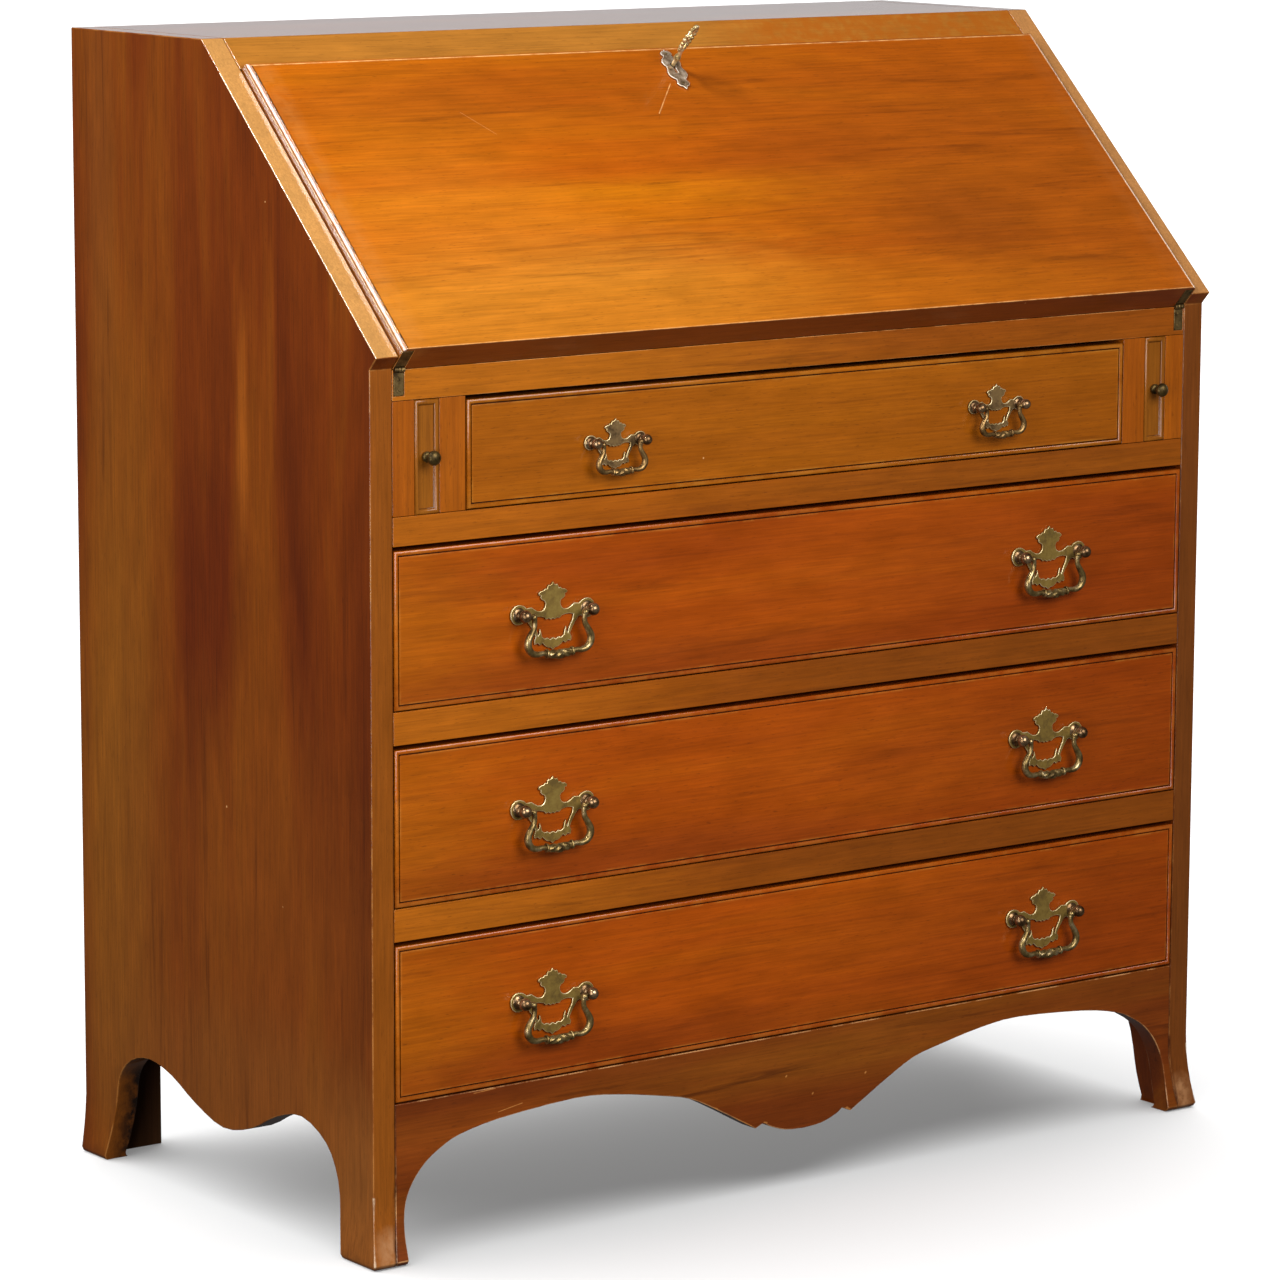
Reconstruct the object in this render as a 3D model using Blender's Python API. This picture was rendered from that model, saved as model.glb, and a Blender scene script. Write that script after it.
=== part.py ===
"""Slant-front secretary desk: case, fall with lock and key, two lopers, four long drawers with bail
pulls, and a gallery of pigeonholes with two small drawers behind the fall.

Metres, +Z up. The desk faces -Y, +X is to the right of someone standing in front of it, and the
origin is on the floor under the middle of the whole object.
"""

import math

import bmesh
import bpy
from mathutils import Matrix, Vector

# ---- case ----
WIDTH = 0.9144
DEPTH = 0.467
HEIGHT = 1.012
SIDE_THICK = 0.022
TOP_THICK = 0.0252
METAL_PROUD = 0.017  # how far the pulls' balls stand in front of the case
GAP = 0.0004  # between neighbours that touch

FRONT = (METAL_PROUD - DEPTH) / 2  # y of the case's front plane
BACK = FRONT + DEPTH
HALF = WIDTH / 2
INNER = HALF - SIDE_THICK  # x of the sides' inner faces
PANEL_BACK = BACK - 0.0004
PANEL_THICK = 0.011
INSIDE_BACK = PANEL_BACK - PANEL_THICK - GAP

# ---- rows of the front, from the floor up ----
APRON_TOP = 0.1385
APRON_THICK = 0.020
OPENING = 0.138  # height of a wide drawer's opening
RAIL = 0.028
UPPER_RAIL = 0.0245
WIDE_ROWS = [APRON_TOP + row * (OPENING + RAIL) for row in range(3)]
TOP_ROW = WIDE_ROWS[2] + OPENING + UPPER_RAIL
SHELF_TOP = 0.7545
SHELF_THICK = 0.0255
TOP_OPENING = SHELF_TOP - SHELF_THICK - TOP_ROW
DUST_BOARD = 0.012
RAIL_DEPTH = 0.060

# ---- top row: guide, loper, partition, drawer ----
GUIDE_WIDTH = 0.022
LOPER_SLOT = 0.025
PARTITION = 0.026
LOPER_LENGTH = 0.300
TOP_DRAWER_HALF = INNER - GUIDE_WIDTH - LOPER_SLOT - PARTITION

# ---- feet ----
FLARE_TOP = 0.070
SIDE_FLARE = 0.0062
FRONT_FLARE = 0.0107
FLARE_LEVELS = [0.0015, 0.0045, 0.011, 0.024, 0.038, 0.053]
TOE_ROUND = 0.0045  # height over which a foot's bottom edge is worn round
TOE_WEAR = 0.6  # share of the flare that has gone at the floor
FOOT_INSIDE = 0.4275  # x of the front feet's inner edge

# ---- fall: s runs up the slope from the hinge, h stands off its inner face ----
SLOPE = math.radians(43.05)
HINGE_Z = SHELF_TOP
FALL_THICK = 0.0254
SLANT_H = 0.0156  # the sides' sloping edges, measured from the fall's inner face
FALL_BOTTOM = 0.0006
FALL_TOP = 0.3229
FALL_HALF = INNER - 0.0008

# ---- fall hinges ----
HINGE_X = INNER - 0.007
LEAF_HALF = 0.005
KNUCKLE_HALF = 0.0016
BARREL = 0.0024
HINGE_PIN = 0.0009
LEAF_THICK = 0.0015
LEAF_REACH = 0.0215  # from the axis to the leaf's far end

# ---- lock ----
LOCK_S = 0.298  # keyhole's place up the slope
KEY_SHAFT = 0.0020
KEY_TURN = math.radians(-45)  # the bow stands half-way between up the slope and +X
KEYHOLE = 0.0027
BOLT_TRAVEL = 0.008
BOLT_LOW = 0.0050
BOLT_HIGH = 0.0080

# ---- drawers ----
FRONT_THICK = 0.019
BOX_BOARD = 0.010
SIDE_REVEAL = 0.0014
TOP_REVEAL = 0.0038
BOTTOM_REVEAL = 0.0012
BOX_DROP = 0.020  # the drawer sides stop this far below the opening's top
GROOVE = 0.004
BOTTOM_THICK = 0.006

# ---- pulls ----
WIDE_PULL_X = HALF - 0.1824
TOP_PULL_X = HALF - 0.2470
PULL_SCALES = {"large": 1.0, "small": 0.74}
POST_X = 0.035
BALL = 0.0055
PIVOT_OUT = METAL_PROUD - GAP - BALL  # from the plate's back to the bail's pivots
PLATE_THICK = 0.0018

# ---- gallery behind the fall ----
GALLERY_FRONT = FRONT + 0.262
GALLERY_WALL = 0.008
GALLERY_BACK_WALL = 0.006
BAY_WIDTH = 0.170
SMALL_DRAWER = 0.058
PIGEONHOLES = 4

WOOD_FINISHES = {
    "fall": ("#C4731A", 0.34),
    "front": ("#A4500F", 0.36),
    "case": ("#8A4814", 0.40),
    "rail": ("#9A5216", 0.38),
    "inside": ("#A97B45", 0.60),
    "raw": ("#4A2C18", 0.75),
}
METAL_FINISHES = {
    "pull": ("#8A7440", 0.38),
    "key": ("#B8923E", 0.30),
    "escutcheon": ("#8C8474", 0.42),
    "steel": ("#6E6A62", 0.45),
}


def linear(hex_colour):
    """An sRGB hex colour as linear values."""
    values = [int(hex_colour[i : i + 2], 16) / 255 for i in (1, 3, 5)]
    return [v / 12.92 if v <= 0.04045 else ((v + 0.055) / 1.055) ** 2.4 for v in values]


def finish(name, kind):
    """The piece's own material, with the colour of its kind of wood or metal."""
    metal = kind in METAL_FINISHES
    colour, roughness = METAL_FINISHES[kind] if metal else WOOD_FINISHES[kind]
    material = bpy.data.materials.new(name)
    material.use_nodes = True
    shader = material.node_tree.nodes["Principled BSDF"]
    shader.inputs["Base Color"].default_value = (*linear(colour), 1)
    shader.inputs["Roughness"].default_value = roughness
    shader.inputs["Metallic"].default_value = 1.0 if metal else 0.0
    return material


def add_object(name, data, kind):
    obj = bpy.data.objects.new(name, data)
    bpy.context.collection.objects.link(obj)
    if kind:
        data.materials.append(finish(name, kind))
    else:
        obj.hide_render = True
        obj.display_type = "WIRE"
    return obj


def from_bmesh(name, bm, kind, smooth=False):
    bmesh.ops.recalc_face_normals(bm, faces=bm.faces)
    mesh = bpy.data.meshes.new(name)
    bm.to_mesh(mesh)
    bm.free()
    if smooth:
        mesh.shade_smooth()
        mesh.set_sharp_from_angle(angle=math.radians(40))
    return add_object(name, mesh, kind)


def slope(s, h):
    """(y, z) of a point s up the fall and h off its inner face."""
    return (
        FRONT + s * math.cos(SLOPE) - h * math.sin(SLOPE),
        HINGE_Z + s * math.sin(SLOPE) + h * math.cos(SLOPE),
    )


def slant_y(z):
    """y of the sides' sloping edge at a height."""
    s = (z - HINGE_Z - SLANT_H * math.cos(SLOPE)) / math.sin(SLOPE)
    return slope(s, SLANT_H)[0]


AXES = {
    "x": lambda a, b, t: (t, a, b),
    "y": lambda a, b, t: (a, t, b),
    "z": lambda a, b, t: (a, b, t),
    "s": lambda a, b, t: (a, *slope(b, t)),  # (x, s) outline pushed off the fall
    "h": lambda a, b, t: (a, *slope(t, b)),  # (x, h) outline pushed up the slope
}


def prism(name, outline, axis, start, end, kind):
    """A flat outline pushed along an axis: (y, z) along x, (x, z) along y, (x, y) along z."""
    place = AXES[axis]
    bm = bmesh.new()
    near = [bm.verts.new(place(a, b, start)) for a, b in outline]
    far = [bm.verts.new(place(a, b, end)) for a, b in outline]
    bm.faces.new(near)
    bm.faces.new(far[::-1])
    for i in range(len(outline)):
        j = (i + 1) % len(outline)
        bm.faces.new((near[j], near[i], far[i], far[j]))
    return from_bmesh(name, bm, kind)


def rectangle(a0, a1, b0, b1):
    return [(a0, b0), (a1, b0), (a1, b1), (a0, b1)]


def box(name, x, y, z, kind=None):
    return prism(name, rectangle(*x, *y), "z", *z, kind)


def turned(name, profile, axis, centre, segments, kind):
    """A lathe-turned piece: profile is (along, radius) from one end on the axis to the other."""
    turn = {"x": Matrix.Identity(3), "-y": Matrix.Rotation(-math.pi / 2, 3, "Z")}[axis]
    bm = bmesh.new()
    rings = []
    for along, radius in profile:
        angles = [2 * math.pi * i / segments for i in range(segments)] if radius else [0]
        ring = [Vector((along, radius * math.cos(a), radius * math.sin(a))) for a in angles]
        rings.append([bm.verts.new(turn @ p + Vector(centre)) for p in ring])
    for ring, following in zip(rings, rings[1:]):
        for i in range(segments):
            j = (i + 1) % segments
            corners = [ring[i % len(ring)], ring[j % len(ring)]]
            corners += [following[j % len(following)], following[i % len(following)]]
            bm.faces.new(list(dict.fromkeys(corners)))
    return from_bmesh(name, bm, kind, smooth=True)


def boolean(target, tool, operation):
    modifier = target.modifiers.new(tool.name, "BOOLEAN")
    modifier.operation = operation
    modifier.object = tool
    modifier.solver = "EXACT"


def cut(target, cutter):
    boolean(target, cutter, "DIFFERENCE")


def add(target, piece):
    boolean(target, piece, "UNION")


def curve_through(points, steps=3):
    """A smooth curve through the points, ends included, with a few steps between each two."""
    ends = [points[0], *points, points[-1]]
    out = []
    for p0, p1, p2, p3 in zip(ends, ends[1:], ends[2:], ends[3:]):
        for i in range(steps):
            t = i / steps
            out.append(
                tuple(
                    0.5 * (2 * b + t * (c - a) + t * t * (2 * a - 5 * b + 4 * c - d)
                           + t**3 * (3 * b - a - 3 * c + d))
                    for a, b, c, d in zip(p0, p1, p2, p3)
                )
            )
    return [*out, points[-1]]


def mirrored(half):
    """A closed outline from its right half, which runs from the middle line back to it."""
    left = [(-x, z) for x, z in reversed(half) if abs(x) > 1e-6]
    return [*half, *left]


def ring_stack(name, rings, kind):
    """A solid from loops of corners, closed flat at both ends."""
    bm = bmesh.new()
    loops = [[bm.verts.new(corner) for corner in ring] for ring in rings]
    bm.faces.new(loops[0][::-1])
    bm.faces.new(loops[-1])
    for loop, following in zip(loops, loops[1:]):
        for i in range(len(loop)):
            j = (i + 1) % len(loop)
            bm.faces.new((loop[i], loop[j], following[j], following[i]))
    return from_bmesh(name, bm, kind)


def pivot(name, location, parent=None):
    """An empty on a joint's axis, which carries the pieces that move with it."""
    empty = bpy.data.objects.new(name, None)
    empty.location = Vector(location) - (parent.matrix_world.translation if parent else Vector())
    empty.parent = parent
    empty.empty_display_size = 0.03
    bpy.context.collection.objects.link(empty)
    bpy.context.view_layer.update()
    return empty


def carry(empty, *pieces):
    """Moves the pieces' own origins to the pivot and parents them there, staying in place."""
    for piece in pieces:
        tools = [m.object for m in piece.modifiers if m.type == "BOOLEAN"]
        for obj in [piece, *tools]:
            if obj.parent is None:
                obj.data.transform(Matrix.Translation(-empty.matrix_world.translation))
                obj.parent = empty


# ---- case ----


def flare(z):
    """How much of the feet's outward sweep is reached at a height, less where the toe is worn."""
    sweep = max(0.0, 1 - z / FLARE_TOP) ** 2
    wear = TOE_WEAR * max(0.0, 1 - z / TOE_ROUND) ** 2
    return sweep - wear


def flare_foot(obj, move):
    """Cuts the board at the flare's levels and moves its points there by move(point)."""
    bm = bmesh.new()
    bm.from_mesh(obj.data)
    for level in FLARE_LEVELS:
        geometry = [*bm.verts, *bm.edges, *bm.faces]
        bmesh.ops.bisect_plane(bm, geom=geometry, plane_co=(0, 0, level), plane_no=(0, 0, 1))
    for vert in bm.verts:
        vert.co += move(vert.co)
    bm.to_mesh(obj.data)
    bm.free()


def side_panel(name, sign):
    """One board with the grain upright: shaped foot, cut-out, straight front, sloping top."""
    arch = [
        (0.042, 0.0), (0.0475, 0.026), (0.054, 0.065), (0.072, 0.093), (0.110, 0.108),
        (0.150, 0.099), (0.190, 0.080), (0.235, 0.071), (0.280, 0.083), (0.320, 0.100),
        (0.356, 0.107), (0.388, 0.0995), (0.408, 0.080), (0.414, 0.050), (0.427, 0.0),
    ]
    nose_top = slope(0.001, SLANT_H)
    nose_drop = (FRONT - nose_top[0]) / math.tan(SLOPE)
    outline = [(FRONT + y, z) for y, z in curve_through(arch)]
    outline += [(BACK, 0.0), (BACK, HEIGHT), (slant_y(HEIGHT), HEIGHT), nose_top]
    outline += [(FRONT, nose_top[1] - nose_drop), (FRONT, FLARE_TOP)]
    levels = [*reversed(FLARE_LEVELS), 0.0]
    outline += [(FRONT - FRONT_FLARE * flare(z), z) for z in levels]
    board = prism(name, outline, "x", sign * INNER, sign * HALF, "case")
    flare_foot(board, lambda p: Vector((sign * SIDE_FLARE * flare(p.z), 0, 0)))
    return board


def apron():
    """Shaped board under the lowest drawer; narrow tongues run down the front feet."""
    drop = curve_through([(0.0, 0.0505), (0.020, 0.052), (0.037, 0.0575), (0.044, 0.062)])
    sweep = [
        (0.0536, 0.058), (0.068, 0.066), (0.096, 0.0815), (0.126, 0.096), (0.158, 0.1035),
        (0.205, 0.112), (0.250, 0.1155), (0.328, 0.110), (0.369, 0.1025), (0.388, 0.0945),
        (0.404, 0.084), (0.417, 0.069), (0.425, 0.052), (0.428, 0.030), (FOOT_INSIDE, 0.0),
    ]
    outer = INNER - GAP
    half = drop + curve_through(sweep)
    half += [(outer, 0.0), *[(outer, z) for z in FLARE_LEVELS], (outer, APRON_TOP - GAP)]
    board = prism("apron", mirrored(half), "y", FRONT, FRONT + APRON_THICK, "rail")

    def sweep_out(p):
        sideways = math.copysign(SIDE_FLARE, p.x) if abs(p.x) > outer - 0.001 else 0.0
        return Vector((sideways * flare(p.z), -FRONT_FLARE * flare(p.z), 0))

    flare_foot(board, sweep_out)
    return board


def rear_bracket(name, sign):
    """Plain square block that stiffens a back foot."""
    outline = rectangle(*sorted((sign * (INNER - GAP), sign * (HALF - 0.067))), 0.0, 0.1175)
    board = prism(name, outline, "y", BACK - 0.020, PANEL_BACK, "raw")
    edge = INNER - 0.001

    def follow_side(p):
        return Vector((sign * SIDE_FLARE * flare(p.z) if abs(p.x) > edge else 0.0, 0, 0))

    flare_foot(board, follow_side)
    return board


def blade(name, bottom, top):
    """Front rail with the thin dust board behind it that the drawer above slides on."""
    rear = INSIDE_BACK - 0.001
    outline = [
        (FRONT, bottom), (FRONT + RAIL_DEPTH, bottom), (FRONT + RAIL_DEPTH, top - DUST_BOARD),
        (rear, top - DUST_BOARD), (rear, top), (FRONT, top),
    ]
    return prism(name, outline, "x", -INNER + GAP, INNER - GAP, "rail")


def hinge_recess(name, sign, outline):
    """A pocket across a hinge's width, in wood that its leaf and barrel sit in."""
    centre = sign * HINGE_X
    wide = LEAF_HALF + GAP
    return prism(name, outline, "x", centre - wide, centre + wide, None)


def writing_shelf():
    """Board under the fall; its front edge is let in for the hinges."""
    y = (FRONT + 0.0003, INSIDE_BACK - 0.001)
    x = (-INNER + GAP, INNER - GAP)
    shelf = box("writing_shelf", x, y, (SHELF_TOP - SHELF_THICK, SHELF_TOP), "rail")
    knuckle_z = SHELF_TOP - BARREL - 0.0006
    pocket = [
        (FRONT - 0.01, SHELF_TOP - LEAF_REACH - GAP), (FRONT + 0.0022, SHELF_TOP - LEAF_REACH - GAP),
        (FRONT + 0.0022, knuckle_z), (FRONT + BARREL + 0.0006, knuckle_z),
        (FRONT + BARREL + 0.0006, SHELF_TOP + 0.01), (FRONT - 0.01, SHELF_TOP + 0.01),
    ]
    for side, sign in (("left", -1), ("right", 1)):
        cut(shelf, hinge_recess(f"shelf_hinge_pocket_{side}", sign, pocket))
    return shelf


def build_case():
    side_panel("side_left", -1)
    side_panel("side_right", 1)
    under = HEIGHT - TOP_THICK
    x = (-INNER + GAP, INNER - GAP)
    outline = [(slant_y(under), under), (BACK, under), (BACK, HEIGHT), (slant_y(HEIGHT), HEIGHT)]
    prism("top_board", outline, "x", *x, "case")
    box("back_panel", x, (PANEL_BACK - PANEL_THICK, PANEL_BACK), (0.118, under - GAP), "raw")
    apron()
    rear_bracket("rear_bracket_left", -1)
    rear_bracket("rear_bracket_right", 1)
    behind = (FRONT + APRON_THICK + GAP, INSIDE_BACK)
    box("bottom_board", x, behind, (APRON_TOP - DUST_BOARD, APRON_TOP), "inside")
    blade("lower_blade", WIDE_ROWS[0] + OPENING, WIDE_ROWS[1])
    blade("middle_blade", WIDE_ROWS[1] + OPENING, WIDE_ROWS[2])
    blade("upper_blade", WIDE_ROWS[2] + OPENING, TOP_ROW)
    row = (TOP_ROW + GAP, TOP_ROW + TOP_OPENING - GAP)
    for side, sign in (("left", -1), ("right", 1)):
        guide = sorted((sign * (INNER - GAP), sign * (INNER - GUIDE_WIDTH)))
        partition = sorted((sign * TOP_DRAWER_HALF, sign * (TOP_DRAWER_HALF + PARTITION)))
        rear = INSIDE_BACK - 0.001
        box(f"loper_guide_{side}", guide, (FRONT + 0.0002, rear), row, "rail")
        box(f"loper_partition_{side}", partition, (FRONT + 0.0002, rear), row, "rail")
    return writing_shelf()


# ---- fall, hinges, lock ----


def fall_panel():
    """Writing flap: square bottom edge, and a rounded, quirked edge on its other three sides."""
    round_edge, shoulder = 0.0032, SLANT_H + 0.006
    profile = [(0.0, 0.0), (0.0, shoulder)]
    for step in (1, 2, 3):
        angle = math.radians(30 * step)
        rise = round_edge * math.sin(angle)
        profile.append((round_edge * (1 - math.cos(angle)), shoulder + rise))
    profile.append((round_edge + 0.0001, FALL_THICK))
    rings = []
    for inset, h in profile:
        x, top = FALL_HALF - inset, FALL_TOP - inset
        corners = [(-x, FALL_BOTTOM), (x, FALL_BOTTOM), (x, top), (-x, top)]
        rings.append([(cx, *slope(s, h)) for cx, s in corners])
    panel = ring_stack("fall_panel", rings, "fall")
    barrel = BARREL + 0.0008
    pocket = [
        (-0.01, -0.01), (barrel, -0.01), (barrel, barrel), (0.0025, barrel),
        (0.0025, LEAF_REACH + GAP), (-0.01, LEAF_REACH + GAP),
    ]
    pocket = [slope(s, h) for s, h in pocket]
    for side, sign in (("left", -1), ("right", 1)):
        cut(panel, hinge_recess(f"fall_hinge_pocket_{side}", sign, pocket))
    mortise = rectangle(-0.0275, 0.0275, LOCK_S - 0.0225, FALL_TOP + 0.005)
    cut(panel, prism("lock_mortise", mortise, "s", -0.005, 0.0110, None))
    cut(panel, prism("fall_keyhole", keyhole_outline(), "s", 0.008, 0.040, None))
    return panel


def keyhole_outline():
    """Round hole with a slot below it for the key's bit, as (x, s)."""
    slot, half = 0.0095, 0.0012
    first = -math.pi / 2 + math.asin(half / KEYHOLE)
    turns = 10
    sweep = 2 * math.pi - 2 * math.asin(half / KEYHOLE)
    arc = [first + sweep * i / turns for i in range(turns + 1)]
    points = [(KEYHOLE * math.cos(a), LOCK_S + KEYHOLE * math.sin(a)) for a in arc]
    return [*points, (-half, LOCK_S - slot), (half, LOCK_S - slot)]


def case_hinge(name, sign):
    """Leaf on the shelf's front edge, with the two outer knuckles and the pin in one."""
    centre = sign * HINGE_X
    gap = KNUCKLE_HALF + GAP
    barrel = [
        (-LEAF_HALF, 0), (-LEAF_HALF, BARREL), (-gap, BARREL), (-gap, HINGE_PIN),
        (gap, HINGE_PIN), (gap, BARREL), (LEAF_HALF, BARREL), (LEAF_HALF, 0),
    ]
    hinge = turned(name, barrel, "x", (centre, FRONT, HINGE_Z), 12, "pull")
    low, neck, top = HINGE_Z - LEAF_REACH, HINGE_Z - BARREL - 0.0008, HINGE_Z - 0.0003
    half = [(0.0, low), (LEAF_HALF, low), (LEAF_HALF, top), (gap, top), (gap, neck), (0.0, neck)]
    outline = [(centre + x, z) for x, z in mirrored(half)]
    y = (FRONT + 0.0003, FRONT + 0.0003 + LEAF_THICK)
    add(hinge, prism(f"{name}_leaf", outline, "y", *y, None))
    return hinge


def fall_hinge(name, sign):
    """Leaf on the fall's bottom edge, with the middle knuckle round the pin."""
    centre = sign * HINGE_X
    half = KNUCKLE_HALF
    start = BARREL + 0.0008
    leaf = [
        (centre - LEAF_HALF, start), (centre - half, start), (centre - half, 0.0016),
        (centre + half, 0.0016), (centre + half, start), (centre + LEAF_HALF, start),
        (centre + LEAF_HALF, LEAF_REACH), (centre - LEAF_HALF, LEAF_REACH),
    ]
    hinge = prism(name, leaf, "h", FALL_BOTTOM, FALL_BOTTOM + LEAF_THICK, "pull")
    middle = (centre, FRONT, HINGE_Z)
    knuckle = [(-half, 0), (-half, BARREL), (half, BARREL), (half, 0)]
    bore = [(-0.004, 0), (-0.004, HINGE_PIN + GAP), (0.004, HINGE_PIN + GAP), (0.004, 0)]
    add(hinge, turned(f"{name}_knuckle", knuckle, "x", middle, 12, None))
    cut(hinge, turned(f"{name}_bore", bore, "x", middle, 12, None))
    return hinge


def lock_case():
    """Brass box let into the fall: a channel for the bolt and a chamber for the key's bit."""
    outline = rectangle(-0.027, 0.027, LOCK_S - 0.0220, FALL_TOP - 0.0002)
    case = prism("lock_case", outline, "s", 0.0004, 0.0105, "escutcheon")
    channel = rectangle(-0.0112, 0.0112, LOCK_S - 0.0160, FALL_TOP + 0.005)
    cut(case, prism("bolt_channel", channel, "s", BOLT_LOW - GAP, BOLT_HIGH + GAP, None))
    chamber = 0.0088
    angles = [math.pi * i / 10 for i in range(20)]
    circle = [(chamber * math.cos(a), LOCK_S + chamber * math.sin(a)) for a in angles]
    cut(case, prism("bit_chamber", circle, "s", 0.0016, BOLT_LOW + 0.0002, None))
    cut(case, prism("case_keyhole", keyhole_outline(), "s", 0.0070, 0.0200, None))
    return case


def lock_bolt():
    """Flat sliding bolt with a slot that straddles the key's shaft."""
    outline = rectangle(-0.0107, 0.0107, LOCK_S - 0.0150, FALL_TOP - 0.0004)
    bolt = prism("lock_bolt", outline, "s", BOLT_LOW, BOLT_HIGH, "steel")
    clear = KEYHOLE
    slot = rectangle(-clear, clear, LOCK_S - BOLT_TRAVEL - clear, LOCK_S + clear)
    cut(bolt, prism("bolt_slot", slot, "s", 0.0, 0.02, None))
    return bolt


def escutcheon():
    """Shaped plate round the keyhole, upright on the fall."""
    half = [
        (0.0, 0.024), (0.0022, 0.0215), (0.0058, 0.0195), (0.0045, 0.0155), (0.0082, 0.0120),
        (0.0098, 0.0070), (0.0078, 0.0025), (0.0100, -0.0030), (0.0092, -0.0090),
        (0.0050, -0.0130), (0.0062, -0.0175), (0.0025, -0.0205), (0.0, -0.0240),
    ]
    outline = [(x, LOCK_S - 0.005 + s) for x, s in mirrored(curve_through(half, 2))]
    height = (FALL_THICK + 0.0003, FALL_THICK + 0.0017)
    plate = prism("escutcheon", outline, "s", *height, "escutcheon")
    cut(plate, prism("escutcheon_keyhole", keyhole_outline(), "s", 0.02, 0.04, None))
    return plate


def key():
    """Shaft, bit in the lock's chamber, and an oval pierced bow, part-turned from upright."""
    bow_s, bow_h, bow_wall = 0.0125, 0.0155, 0.0036
    tip = FALL_THICK + 0.050
    middle = tip - bow_h
    shaft_top = middle - bow_h + 0.0024
    collar = FALL_THICK + 0.010
    profile = [
        (0.0022, 0), (0.0022, KEY_SHAFT), (collar, KEY_SHAFT), (collar + 0.001, 0.0031),
        (collar + 0.003, 0.0031), (collar + 0.004, KEY_SHAFT), (shaft_top, KEY_SHAFT),
        (shaft_top + 0.0006, 0),
    ]
    shaft = turned("key", profile, "x", (0, 0, 0), 10, "key")
    up_slope, off_fall = math.cos(SLOPE), math.sin(SLOPE)
    stand = Matrix(((0, 1, 0), (-off_fall, 0, up_slope), (up_slope, 0, off_fall)))
    centre = Vector((0, *slope(LOCK_S, 0)))
    turn = Matrix.Rotation(KEY_TURN, 4, Vector((0, -off_fall, up_slope)))
    turn = Matrix.Translation(centre) @ turn @ Matrix.Translation(-centre)
    shaft.data.transform(Matrix.Translation(centre) @ stand.to_4x4())
    bit = [slope(s, h) for h, s in rectangle(0.0022, 0.0044, LOCK_S - 0.0075, LOCK_S)]
    pieces = [(prism("key_bit", bit, "x", -0.0008, 0.0008, None), "UNION")]
    turns = 20
    for name, wall, half, operation in (
        ("key_bow", 0.0, 0.0014, "UNION"),
        ("key_bow_eye", bow_wall, 0.004, "DIFFERENCE"),
    ):
        angles = [2 * math.pi * i / turns for i in range(turns)]
        oval = [
            slope(LOCK_S + (bow_s - wall) * math.cos(a), middle + (bow_h - wall) * math.sin(a))
            for a in angles
        ]
        pieces.append((prism(name, oval, "x", -half, half, None), operation))
    for piece, operation in pieces:
        piece.data.transform(turn)
        boolean(shaft, piece, operation)
    return shaft


def build_fall():
    for side, sign in (("left", -1), ("right", 1)):
        case_hinge(f"case_hinge_{side}", sign)
    fall = pivot("fall_pivot", (0, FRONT, HINGE_Z))
    carry(fall, fall_panel(), fall_hinge("fall_hinge_left", -1), fall_hinge("fall_hinge_right", 1))
    carry(fall, lock_case(), escutcheon())
    carry(pivot("bolt_guide", (0, *slope(LOCK_S, BOLT_LOW)), fall), lock_bolt())
    carry(pivot("key_pivot", (0, *slope(LOCK_S, 0.0)), fall), key())


# ---- drawers and lopers ----


def moulded_front(name, x, z, profile, kind):
    """A board with a moulding worked round its face: profile is (inset, y behind the face)."""
    rings = []
    for inset, depth in profile:
        corners = rectangle(x[0] + inset, x[1] - inset, z[0] + inset, z[1] - inset)
        rings.append([(cx, FRONT + depth, cz) for cx, cz in corners])
    return ring_stack(name, rings, kind)


COCK_BEAD = [
    (0.0, 0.0008), (0.0008, -0.0005), (0.0019, -0.0009), (0.0030, -0.0005),
    (0.0036, 0.0004), (0.0038, 0.0014), (0.0045, 0.0014), (0.0050, 0.0),
]
LOPER_MOULDING = [
    (0.0, 0.0006), (0.0012, -0.0004), (0.0026, -0.0004), (0.0036, 0.0006), (0.0048, 0.0018),
]


def drawer_bodies(name, half_width, row, opening, depth):
    """Front, box and grooved-in bottom board of one drawer."""
    x = (-half_width + SIDE_REVEAL, half_width - SIDE_REVEAL)
    z = (row + BOTTOM_REVEAL, row + opening - TOP_REVEAL)
    face = [(0.0, FRONT_THICK), *COCK_BEAD]
    front = moulded_front(f"{name}_front", x, z, face, "front")
    rear = FRONT + depth
    start = FRONT + FRONT_THICK + GAP
    inside_x = x[1] - BOX_BOARD
    inside_y = rear - BOX_BOARD
    walls = [
        (x[0], start), (-inside_x, start), (-inside_x, inside_y), (inside_x, inside_y),
        (inside_x, start), (x[1], start), (x[1], rear), (x[0], rear),
    ]
    bottom = row + GAP
    box_z = (bottom, row + opening - BOX_DROP)
    drawer_box = prism(f"{name}_box", walls, "z", *box_z, "inside")
    tongue = GROOVE - GAP
    board_z = bottom + 0.010
    board_x = (-inside_x - tongue, inside_x + tongue)
    board_y = (FRONT + FRONT_THICK - tongue, inside_y + tongue)
    board = box(f"{name}_bottom", board_x, board_y, (board_z, board_z + BOTTOM_THICK), "inside")
    groove = box(
        f"{name}_groove",
        (board_x[0] - GAP, board_x[1] + GAP),
        (board_y[0] - GAP, board_y[1] + GAP),
        (board_z - GAP, board_z + BOTTOM_THICK + GAP),
    )
    cut(front, groove)
    cut(drawer_box, groove)
    return front, drawer_box, board


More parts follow.
